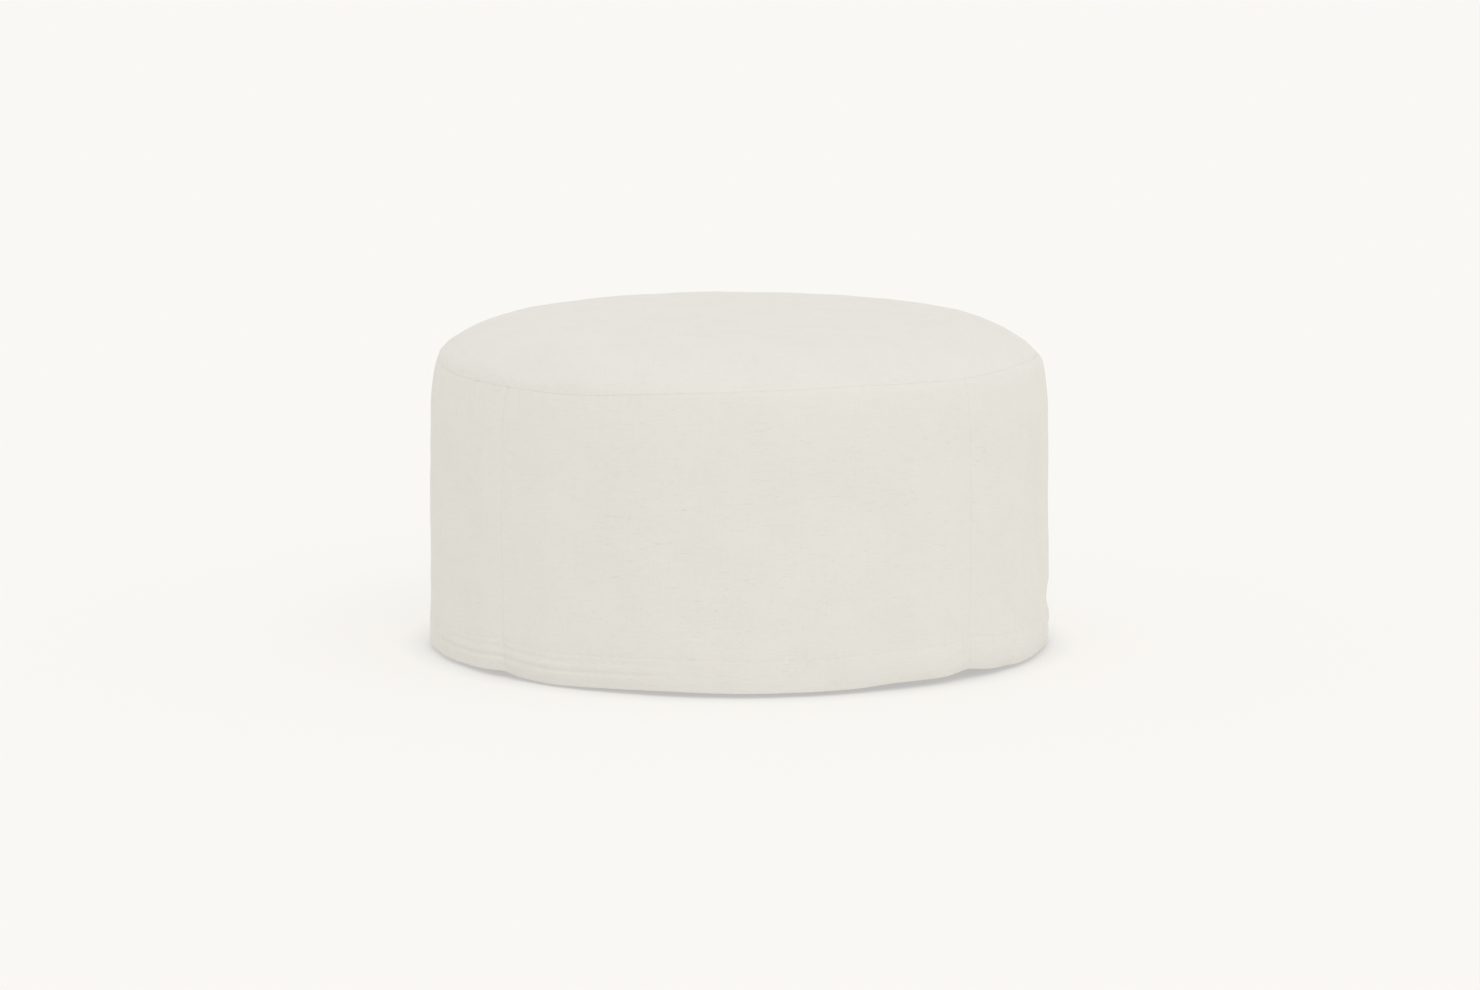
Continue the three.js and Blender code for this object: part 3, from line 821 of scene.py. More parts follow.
@dataclass(frozen=True)
class Tailoring:
    """How the cover's cloth lies on the outline: slack, pulls, puckers and what the hem does."""

    radius: float = 0.432
    hem_depth: float = 0.0445
    slack: Ripple = Ripple(3, 8, 11)
    drapes: Ripple = Ripple(9, 24, 12)
    flutes: Ripple = Ripple(26, 64, 13)
    gathers: Ripple = Ripple(62, 120, 14)
    puckers: Ripple = Ripple(125, 250, 15)
    hem_puckers: Ripple = Ripple(150, 300, 16)
    seam_puckers: Ripple = Ripple(95, 190, 17)
    creases: Crumple = Crumple(0.028, 0.10, 21, 28, 2.0 * math.pi * 0.432)
    swells: Crumple = Crumple(0.10, 0.26, 22, 16, 2.0 * math.pi * 0.432)
    puckering: Ring = Ring(
        ((-180, 0.3), (-100, 0.5), (-70, 0.6), (-30, 0.45), (0, 0.16), (90, 0.2), (180, 0.3)), 10
    )
    seam_sink: Ring = Ring(
        ((-90, 0.4), (-70, 0.4), (-45, 0.25), (-12, 0.1), (15, 0.0), (30, 0.1), (60, 0.25), (180, 0.3)), 8
    )
    hem_roll: Ring = Ring(
        ((-110, 0), (-78, 0.2), (-64, 1.0), (-40, 1.0), (-22, 0.8), (-8, 0.1), (20, 0), (120, 0.1),
         (150, 0.8), (200, 0.3)), 4
    )
    hem_puff: Ring = Ring(
        ((-60, 0), (-47, 0), (-43, 1.3), (-32, 0.5), (10, 0), (28, 0.9), (39, 2.2), (45, 1.2), (50, 1.8),
         (60, 2.4), (76, 0.8), (100, 0.2), (128, 1.4), (150, 0.2), (200, 1.2), (228, 0.1)), 3
    )

    def along_seams(self, azimuth: Array, run: Array) -> Array:
        """Returns how far the cloth is drawn in beside the four upright seams."""
        pull = np.zeros(np.shape(run))
        for number, side in enumerate(Side):
            away = np.radians(np.abs(turn_between(azimuth, side.value[0]))) * self.radius
            wave = self.seam_puckers.at(run / self.radius + number)
            pull = pull - 0.18 * MM * np.exp(-away / 0.010) + 0.12 * MM * wave * np.exp(-away / 0.012)
            low = eased(1.0 - run / 0.055)
            pull = pull - 1.5 * MM * low * hump(away, 0.024)
            pull = pull - 0.7 * MM * eased(1.0 - run / 0.2) * hump(away, 0.045)
        return pull

    def hem(self, azimuth: Array, run: Array) -> Array:
        """Returns the hem's relief: its doubled band, stitched line, roll and puffs."""
        band = 0.18 * MM * eased((self.hem_depth - run) / 0.004)
        groove = -0.26 * MM * hump(run - self.hem_depth, 0.0045)
        ripple = 0.26 * MM * self.hem_puckers.at(azimuth) * hump(run - self.hem_depth, 0.022)
        rolled = -1.9 * hump(run - 0.0205, 0.0050) - 0.9 * hump(run - 0.034, 0.0050)
        rolled = rolled - 2.3 * eased((0.022 - run) / 0.022)
        roll = self.hem_roll.at(azimuth) * rolled
        puff = self.hem_puff.at(azimuth) * (hump(run - 0.024, 0.034) - 0.7 * eased((0.012 - run) / 0.012))
        dent = -4.0 * MM * hump(turn_between(azimuth, 89.0), 13.0) * hump(run - 0.060, 0.028)
        nick = -1.1 * MM * hump(turn_between(azimuth, 86.0), 16.0) * hump(run - 0.020, 0.007)
        return band + groove + ripple + roll + puff + dent + nick

    def side(self, azimuth: Array, run: Array, seam: Array) -> Array:
        """Returns how far a side panel stands out of the outline.

        Args:
            azimuth: each point's azimuth, in radians.
            run: its run up from the hem.
            seam: the run of the perimeter seam at that azimuth.

        Returns:
            The offset, in metres.
        """
        below = np.maximum(seam - run, 0.0)
        loose = eased(1.0 - run / 0.30)
        flat = azimuth * self.radius
        offset = self.slack.at(azimuth) * MM * (0.30 + 0.75 * loose)
        offset = offset + self.drapes.at(azimuth) * MM * (0.12 + 0.42 * loose)
        offset = offset + self.flutes.at(azimuth) * MM * 0.26 * eased(1.0 - run / 0.13)
        free = 1.0 - np.exp(-below / 0.02)
        offset = offset + free * MM * (0.20 * self.creases.at(flat, run) + 0.45 * self.swells.at(flat, run))
        near = 1.0 - np.exp(-below / 0.0025)
        gathers = 0.65 * self.gathers.at(azimuth) * np.exp(-below / 0.055)
        tight = self.puckers.at(azimuth) * np.exp(-below / 0.017)
        offset = offset + self.puckering.at(azimuth) * (gathers + tight) * near
        offset = offset - self.seam_sink.at(azimuth) * np.exp(-below / 0.006)
        return offset + self.along_seams(azimuth, run) + self.hem(azimuth, run)

    def top(self, azimuth: Array, inside: Array, middle: Array) -> Array:
        """Returns how far the top panel stands out of the outline.

        Args:
            azimuth: each point's azimuth, in radians.
            inside: how far it is from the perimeter seam.
            middle: how far it is from the middle of the panel.

        Returns:
            The offset, in metres.
        """
        inside = np.maximum(inside, 0.0)
        across, along = middle * np.sin(azimuth), -middle * np.cos(azimuth)
        rim = np.exp(-inside / 0.05)
        offset = rim * MM * (0.30 * self.slack.at(azimuth) + 0.12 * self.drapes.at(azimuth))
        free = 1.0 - np.exp(-inside / 0.02)
        uneven = 0.18 * self.creases.at(across, along) + 0.55 * self.swells.at(across, along)
        offset = offset + free * MM * uneven
        near = 1.0 - np.exp(-inside / 0.0025)
        gathers = 0.5 * self.gathers.at(azimuth) * np.exp(-inside / 0.03)
        waves = gathers + 0.7 * self.puckers.at(azimuth) * np.exp(-inside / 0.014)
        offset = offset + self.puckering.at(azimuth) * waves * near
        offset = offset + 1.6 * self.puckering.at(azimuth) * hump(inside - 0.018, 0.018)
        return offset - self.seam_sink.at(azimuth) * np.exp(-inside / 0.006)


@dataclass
class Slipcover:
    """The loose linen cover: a round top panel and four side panels with a deep hem."""

    outline: Outline
    tailoring: Tailoring
    cloth: float = 0.34 * MM
    seam: Fold = Fold(0.36 * MM, 9.0 * MM)
    hem: Fold = Fold(0.70 * MM, 44.4 * MM, 6, 13)
    spacing: float = 3.6 * MM
    cut_height: float = 0.50
    flap_clear: float = 4.0 * MM
    flap_taper: float = 16.0 * MM
    flap_least: float = 0.03
    stitch_pitch: float = 4.2 * MM
    stitch_radius: float = 0.20 * MM
    stitch_length: float = 3.1 * MM

    def build(self) -> list[Object]:
        """Builds every piece of the cover and dresses it in linen or thread."""
        panels = [self.top_panel(), *(self.side_panel(side) for side in Side)]
        stitches = self.hem_stitches()
        LINEN.dress(*panels)
        THREAD.dress(stitches)
        hand_in(panels[0], "linen", "cover_top_panel")
        front = np.zeros(1)
        crown = float(self.outline.whole_run(front)[0] - self.outline.seam_run(front)[0])
        for side, panel in zip(Side, panels[1:]):
            hand_in(panel, "linen", f"cover_side_{side.name.lower()}")
        hand_in(stitches, "linen")
        return [*panels, stitches]

    def side_columns(self, side: Side) -> tuple[Array, Array, Array, Array]:
        """Lays out a side panel's columns, from the flap at one seam to the flap at the other.

        Returns:
            Each column's place along the panel before its flap, its depth, its signed share of the
            flap, and its place on the flat cloth.
        """
        start, end = (math.radians(angle) for angle in side.value)
        width = (end - start) * self.outline.hem_radius
        back, depth, flap, length = self.seam.trace()
        first = self.seam.bend
        count = int((width - 2.0 * first) / self.spacing)
        middle = np.linspace(first, width - first, count)
        place = np.concatenate([back[::-1], middle, width - back])
        depths = np.concatenate([depth[::-1], np.zeros(count), depth])
        flaps = np.concatenate([flap[::-1], np.zeros(count), -flap])
        cut = np.concatenate([(first - length)[::-1], middle, width - first + length])
        return start + place / self.outline.hem_radius, depths, flaps, cut

    def side_panel(self, side: Side) -> Object:
        """Builds one side panel, from its turned-up hem to the flap at the perimeter seam."""
        angle, column_depth, column_flap, across = (line[None, :] for line in self.side_columns(side))
        seam = self.outline.seam_run(angle)
        hem_back, hem_depth, hem_flap, hem_length = (line[::-1, None] for line in self.hem.trace())
        top_back, top_depth, top_flap, top_length = (line[:, None] for line in self.seam.trace())
        start, stop = self.hem.bend, seam - self.seam.bend
        low = np.linspace(0.0, 0.14, 26)
        high = np.linspace(1.0, 0.90, 19)[::-1]
        share = np.concatenate([low, np.linspace(0.14, 0.90, 80)[1:-1], high])[:, None]
        still = np.zeros_like(seam)

        run = np.concatenate([
            hem_back + hem_flap * self.hem.flap + still,
            start + share * (stop - start),
            seam - top_back - top_flap * self.flap_room(side, angle),
        ])
        depth = np.concatenate([hem_depth, np.zeros_like(share), top_depth]) + column_depth
        along = np.concatenate([
            start - hem_length + still,
            start + share * (stop - start),
            stop + top_length + still,
        ])
        reach = self.flap_length(seam - run)
        azimuth = angle + column_flap * reach / self.outline.hem_radius
        out = self.tailoring.side(azimuth, run, seam) - depth
        points = self.outline.point(azimuth, run, out)
        flat = np.stack([np.broadcast_to(across, along.shape), along], axis=-1)
        name = f"cover_{side.name.lower()}_panel"
        panel = mesh_object(name, points, grid_faces(*points.shape[:2]), flat)
        thicken(panel, self.cloth)
        return panel

    def flap_room(self, side: Side, angle: Array) -> Array:
        """Returns how long the perimeter flap is at each angle, so that it stays clear of the corners."""
        start, end = (math.radians(value) for value in side.value)
        return self.flap_length(np.minimum(angle - start, end - angle) * self.outline.hem_radius)

    def flap_length(self, away: Array) -> Array:
        """Returns how long a seam's flap is where the panel's next seam is this far away."""
        return np.clip((away - self.flap_clear) / self.flap_taper, self.flap_least, 1.0) * self.seam.flap

    def top_panel(self) -> Object:
        """Builds the top panel in rings, with fewer points to a ring as they grow smaller."""
        back, depth, flap, _ = (line[::-1] for line in self.seam.trace())
        rings: list[tuple[int, float, float, float]] = []
        for step in range(len(back)):
            rings.append((720, 0.0, back[step] + flap[step] * self.seam.flap, depth[step]))
        near = [0.0, 0.004, 0.008, 0.012, 0.016, 0.020, 0.025, 0.030, 0.036, 0.042]
        shares = [*near, *np.linspace(0.05, 0.985, 112)]
        for share in shares:
            count = 720 if share < 0.19 else 360 if share < 0.50 else 180 if share < 0.78 else 90
            rings.append((count, share, self.seam.bend, 0.0))

        points: list[Array] = []
        faces: list[tuple[int, ...]] = []
        flats: list[Array] = []
        first = 0
        for number, (count, share, inset, deep) in enumerate(rings):
            azimuth = np.arange(count) * 2.0 * math.pi / count - math.pi
            seam = self.outline.seam_run(azimuth)
            whole = self.outline.whole_run(azimuth)
            run = seam + inset + share * (whole - seam - self.seam.bend)
            middle = whole - run
            out = self.tailoring.top(azimuth, run - seam, middle) - deep
            points.append(self.outline.point(azimuth, run, out))
            flats.append(np.stack([middle * np.sin(azimuth), -middle * np.cos(azimuth)], axis=-1))
            if number:
                faces += self.ring_faces(first - rings[number - 1][0], rings[number - 1][0], first, count)
            first += count
        last = rings[-1][0]
        points.append(np.array([[0.0, 0.0, float(points[-1][:, 2].mean())]]))
        flats.append(np.zeros((1, 2)))
        faces += [(first - last + step, first - last + (step + 1) % last, first) for step in range(last)]
        panel = mesh_object("cover_top", np.concatenate(points), faces, np.concatenate(flats))
        thicken(panel, self.cloth)
        return panel

    @staticmethod
    def ring_faces(outer: int, outer_count: int, inner: int, inner_count: int) -> list[tuple[int, ...]]:
        """Joins a ring of points to the next one in, which has as many points or half as many."""
        faces: list[tuple[int, ...]] = []
        for step in range(inner_count):
            after = (step + 1) % inner_count
            if outer_count == inner_count:
                faces.append((outer + step, outer + after, inner + after, inner + step))
                continue
            left, centre = outer + 2 * step, outer + 2 * step + 1
            right = outer + (2 * step + 2) % outer_count
            faces += [(left, centre, inner + step), (centre, inner + after, inner + step)]
            faces += [(centre, right, inner + after)]
        return faces

    def hem_stitches(self) -> Object:
        """Builds the row of thread stitches that holds the hem up, from one stitch copied round."""
        bpy.ops.object.select_all(action="DESELECT")
        bpy.ops.mesh.primitive_uv_sphere_add(segments=6, ring_count=5, radius=1.0)
        model = bpy.context.object
        shape = np.array([vertex.co[:] for vertex in model.data.vertices])
        quads = [tuple(face.vertices) for face in model.data.polygons]
        bpy.data.objects.remove(model)
        count = int(2.0 * math.pi * self.outline.hem_radius / self.stitch_pitch)
        azimuth = np.arange(count) * 2.0 * math.pi / count
        run = np.full(count, self.tailoring.hem_depth)
        seam = self.outline.seam_run(azimuth)
        out = self.tailoring.side(azimuth, run, seam) + 0.06 * MM
        centre = self.outline.point(azimuth, run, out)
        ahead = np.stack([np.cos(azimuth), np.sin(azimuth), np.zeros(count)], axis=-1)
        outward = np.stack([np.sin(azimuth), -np.cos(azimuth), np.zeros(count)], axis=-1)
        bow = shape[:, 2:] ** 2 * 0.20 * MM
        sizes = np.array([self.stitch_radius, self.stitch_radius, self.stitch_length / 2.0])
        part = shape * sizes
        points = (
            centre[:, None, :]
            + ahead[:, None, :] * part[None, :, 2:]
            + outward[:, None, :] * (part[None, :, :1] - bow[None])
            - np.array([0.0, 0.0, 1.0]) * part[None, :, 1:2]
        )
        size = len(shape)
        faces = [tuple(size * stitch + index for index in face) for stitch in range(count) for face in quads]
        return mesh_object("hem_stitching", points, faces)


# ---------------------------------------------------------------------------------------------
# Under the slipcover
# ---------------------------------------------------------------------------------------------


def sheet_rings(name: str, radius: Array, height: Array, spin: Array, flat: Array, closed: bool) -> Object:
    """Makes a sheet in rings round the upright axis.

    Args:
        name: the piece's name.
        radius: each point's radius, a row for each ring.
        height: each point's height.
        spin: each column's azimuth, in radians.
        flat: each point's place on the flat cloth.
        closed: whether the last ring is filled in to a point on the axis.

    Returns:
        The sheet's outer face.
    """
    points = np.stack([radius * np.sin(spin), -radius * np.cos(spin), height], axis=-1)
    rows, columns = radius.shape
    faces: list[tuple[int, ...]] = list(grid_faces(rows, columns, around=True))
    points, flat = points.reshape(-1, 3), flat.reshape(-1, 2)
    if closed:
        points = np.concatenate([points, [[0.0, 0.0, float(height[-1].mean())]]])
        flat = np.concatenate([flat, [[0.0, 0.0]]])
        first = (rows - 1) * columns
        faces += [(first + step, first + (step + 1) % columns, rows * columns) for step in range(columns)]
    return mesh_object(name, points, faces, flat)


@dataclass
class InnerCover:
    """The fixed calico cover, stretched over the padding and turned under the frame."""

    outline: Outline
    cloth: float = 1.0 * MM
    top_depth: float = 3.2 * MM
    side_depth: float = 6.6 * MM
    seam_depth: float = 4.6 * MM
    bottom: float = 0.0531
    turned_under: float = 0.391
    bend: float = 0.004
    columns: int = 288
    seam_room: float = 0.6 * MM
    top_cut: float = 0.89
    top_share: float = 0.79
    side_cut: tuple[float, float] = (2.70, 0.41)

    def build(self) -> list[Object]:
        """Builds the top and side of the calico cover."""
        pieces = [self.top(), self.side()]
        CALICO.dress(*pieces)
        hand_in(pieces[0], "calico", "calico_top")
        hand_in(pieces[1], "calico", "calico_side")
        return pieces

    def spin(self) -> Array:
        """Returns the azimuth of each column."""
        return (np.arange(self.columns) * 2.0 * math.pi / self.columns - math.pi)[None, :]

    def top(self) -> Object:
        """Builds the round top, from the seam in to the middle."""
        spin = self.spin()
        seam, whole = self.outline.seam_run(spin), self.outline.whole_run(spin)
        share = np.concatenate([np.linspace(0.0, 0.2, 22)[:-1], np.linspace(0.2, 0.98, 50)])[:, None]
        run = seam + self.seam_room + share * (whole - seam)
        depth = self.top_depth + (self.seam_depth - self.top_depth) * np.exp(-share * 0.45 / 0.012)
        points = self.outline.point(spin + 0.0 * run, run, -depth)
        middle = whole - run
        flat = np.stack([middle * np.sin(spin), -middle * np.cos(spin)], axis=-1)
        radius = np.hypot(points[..., 0], points[..., 1])
        panel = sheet_rings("calico_top_panel", radius, points[..., 2], spin, flat, closed=True)
        thicken(panel, self.cloth)
        return panel

    def side(self) -> Object:
        """Builds the side, from the flap turned under the frame up to the seam."""
        spin = self.spin()
        foot = float(self.outline.hem_radius - self.side_depth)
        angle = np.linspace(0.0, math.pi / 2, 6)[:, None]
        under = np.linspace(self.turned_under, foot - self.bend, 9)[:-1, None]
        seam = self.outline.seam_run(spin)
        start = self.bottom + self.bend - self.outline.hem_height - self.outline.hem_lift.at(spin)
        share = np.concatenate([np.linspace(0.0, 0.8, 40)[1:-1], np.linspace(0.8, 1.0, 20)])[:, None]
        run = start + share * (seam - self.seam_room - start)
        depth = self.side_depth + (self.seam_depth - self.side_depth) * eased((share - 0.9) / 0.1)
        wall = self.outline.point(spin + 0.0 * run, run, -depth)
        base = np.hypot(wall[:1, :, 0], wall[:1, :, 1])
        radius = np.concatenate([
            under + 0.0 * spin,
            base - self.bend + self.bend * np.sin(angle),
            np.hypot(wall[..., 0], wall[..., 1]),
        ])
        height = np.concatenate([
            self.bottom + 0.0 * under + 0.0 * spin,
            self.bottom + self.bend * (1.0 - np.cos(angle)) + 0.0 * spin,
            wall[..., 2],
        ])
        length = np.hypot(np.diff(radius, axis=0), np.diff(height, axis=0))
        along = np.concatenate([np.zeros((1, self.columns)), np.cumsum(length, axis=0)])
        flat = np.stack([spin * foot + 0.0 * along, along], axis=-1)
        panel = sheet_rings("calico_side_panel", radius, height, spin, flat, closed=False)
        thicken(panel, self.cloth)
        return panel


@dataclass
class Padding:
    """The foam pad, and the polyester wadding over it and round the side."""

    outline: Outline
    columns: int = 216
    foam_low: float = 0.3268
    foam_high: float = 0.4320
    foam_radius: float = 0.4010
    foam_round: float = 0.060
    cover_depth: float = 4.9 * MM
    voxel: float = 7.0 * MM
    swell: float = 1.6 * MM
    pressure: float = 4.0
    frames: int = 20
    wall_room: float = 1.5 * MM
    top_room: float = 0.8 * MM
    lumps: Crumple = Crumple(0.03, 0.12, 31, 24)

    def build(self) -> list[Object]:
        """Builds the foam and both layers of wadding."""
        foam, crown, side = self.foam(), self.crown(), self.side()
        FOAM.dress(foam)
        WADDING.dress(crown, side)
        hand_in(foam, "foam", "foam_pad")
        hand_in(crown, "wadding", "crown_wadding")
        hand_in(side, "wadding", "side_wadding")
        return [foam, crown, side]

    def turned(self, name: str, levels: list[tuple[float, float]], ring: bool) -> Object:
        """Turns a closed profile into a solid.

        Args:
            name: the piece's name.
            levels: radius and height of each corner, from the bottom up round the outside.
            ring: whether the profile closes on itself, clear of the axis.

        Returns:
            The solid.
        """
        profile = np.array(levels)
        spin = np.arange(self.columns) * 2.0 * math.pi / self.columns
        radius, height = profile[:, :1], profile[:, 1:]
        points = np.stack([radius * np.sin(spin), -radius * np.cos(spin), height + 0.0 * spin], axis=-1)
        rows = len(profile)
        faces: list[tuple[int, ...]] = list(grid_faces(rows, self.columns, around=True))
        last = (rows - 1) * self.columns
        flat = points.reshape(-1, 3)
        if ring:
            for step in range(self.columns):
                after = (step + 1) % self.columns
                faces.append((last + step, last + after, after, step))
        else:
            flat = np.concatenate([flat, [[0.0, 0.0, profile[0, 1]], [0.0, 0.0, profile[-1, 1]]]])
            for step in range(self.columns):
                after = (step + 1) % self.columns
                faces.append((after, step, len(flat) - 2))
                faces.append((last + step, last + after, len(flat) - 1))
        return mesh_object(name, flat, faces)

    def foam_wall(self, lift: float) -> list[tuple[float, float]]:
        """Returns the corners of the foam's outer face, from lift over its base to its rounded top edge."""
        corner = self.foam_round
        radius, height = self.foam_radius - corner, self.foam_high - corner
        angle = np.linspace(0.0, math.pi / 2, 10)
        arc = [(radius + corner * math.cos(turn), height + corner * math.sin(turn)) for turn in angle]
        rise = np.linspace(self.foam_low + lift, arc[0][1], 8)[:-1]
        return [(self.foam_radius, float(z)) for z in rise] + arc

    def foam(self) -> Object:
        """Builds the round foam pad with its trimmed upper edge."""
        inward = np.linspace(0.98, 0.04, 24)
        wall = self.foam_wall(2.0 * MM)
        reach = wall[-1][0]
        start = [(self.foam_radius * share, self.foam_low) for share in (0.04, 0.3, 0.6, 0.85, 0.97, 0.995)]
        levels = [*start, *wall, *((reach * share, self.foam_high) for share in inward)]
        return self.turned("foam_block", levels, ring=False)

    def crown(self) -> Object:
        """Builds the wadding over the foam, swollen against the calico by its own loft."""
        spin = np.arange(self.columns)[None, :] * 2.0 * math.pi / self.columns - math.pi
        seam, whole = self.outline.seam_run(spin), self.outline.whole_run(spin)
        share = np.linspace(0.97, 0.0, 46)[:, None]
        run = seam + share * (whole - seam) - 0.070 * (1.0 - share) ** 6
        depth = self.cover_depth + self.swell
        outer = self.outline.point(spin + 0.0 * run, run, -depth - 0.004 * (1.0 - share) ** 3)
        radius, height = np.hypot(outer[..., 0], outer[..., 1]), outer[..., 2]
        wall = self.foam_wall(1.0 * MM)
        inner = [(r + self.wall_room, z + self.top_room) for r, z in wall]
        level = self.foam_high + self.top_room
        inner += [(wall[-1][0] * part, level) for part in np.linspace(0.97, 0.03, 30)]
        inner_r = np.array([r for r, _ in inner])[:, None] + 0.0 * spin
        inner_z = np.array([z for _, z in inner])[:, None] + 0.0 * spin
        radius, height = np.concatenate([radius, inner_r]), np.concatenate([height, inner_z])
        points = np.stack([radius * np.sin(spin), -radius * np.cos(spin), height], axis=-1)
        rows = len(radius)
        faces = [tuple(reversed(face)) for face in grid_faces(rows, self.columns, around=True)]
        last = (rows - 1) * self.columns
        flat = points.reshape(-1, 3)
        poles = [[0.0, 0.0, float(level.mean())] for level in (height[0], height[-1])]
        flat = np.concatenate([flat, poles])
        for step in range(self.columns):
            after = (step + 1) % self.columns
            faces.append((step, after, len(flat) - 2))
            faces.append((last + after, last + step, len(flat) - 1))
        pad = mesh_object("crown_wadding_pad", flat, faces)
        self.puff(pad)
        return pad

    def puff(self, pad: Object) -> None:
        """Lets a pad swell under its own pressure, no further than its loft allows."""
        remesh = pad.modifiers.new("voxels", "REMESH")
        remesh.mode, remesh.voxel_size = "VOXEL", self.voxel
        apply_modifiers(pad)
        cloth = pad.modifiers.new("loft", "CLOTH")
        cloth.settings.use_pressure = True
        cloth.settings.uniform_pressure_force = self.pressure
        cloth.settings.effector_weights.gravity = 0.0
        scene = bpy.context.scene
        for frame_number in range(1, self.frames + 1):
            scene.frame_set(frame_number)
        swollen = pad.evaluated_get(bpy.context.evaluated_depsgraph_get()).data
        count = len(pad.data.vertices)
        before, after = np.empty(count * 3), np.empty(count * 3)
        pad.data.vertices.foreach_get("co", before)
        swollen.vertices.foreach_get("co", after)
        before, move = before.reshape(-1, 3), (after - before).reshape(-1, 3)
        pad.modifiers.remove(pad.modifiers["loft"])
        length = np.maximum(np.linalg.norm(move, axis=1, keepdims=True), 1e-9)
        move *= np.minimum(length, self.swell) / length
        pad.data.vertices.foreach_set("co", (before + move).ravel())
        pad.data.update()
        scene.frame_set(1)
        smooth = pad.modifiers.new("smooth", "SUBSURF")
        smooth.levels = smooth.render_levels = 1
        apply_modifiers(pad)
        pad.data.polygons.foreach_set("use_smooth", [True] * len(pad.data.polygons))

    def side(self) -> Object:
        """Builds the wadding round the drum, thinner at its edges, with the unevenness of carded stuff."""
        low, high, inner, outer = 0.0560, 0.3255, 0.4114, 0.4232
        rise = np.linspace(0.0, 1.0, 54)
        edge = np.minimum(eased(rise / 0.05), eased((1.0 - rise) / 0.05))
        thin = inner + 0.002
        outward = [
            (thin + (outer - inner - 0.002) * part, low + (high - low) * share)
            for share, part in zip(rise, edge)
        ]
        back = [(inner, low + (high - low) * share) for share in np.linspace(1.0, 0.0, 12)]
        pad = self.turned("side_wadding_pad", [*outward, *back], ring=True)
        count = len(pad.data.vertices)
        place = np.empty(count * 3)
        pad.data.vertices.foreach_get("co", place)
        place = place.reshape(-1, 3)
        radius = np.hypot(place[:, 0], place[:, 1])
        spin = np.arctan2(place[:, 0], -place[:, 1])
        uneven = 0.45 * MM * (self.lumps.at(spin * outer, place[:, 2]) - 1.2) * (radius > inner + 0.003)
        place[:, :2] *= ((radius + uneven) / radius)[:, None]
        pad.data.vertices.foreach_set("co", place.ravel())
        pad.data.update()
        return pad


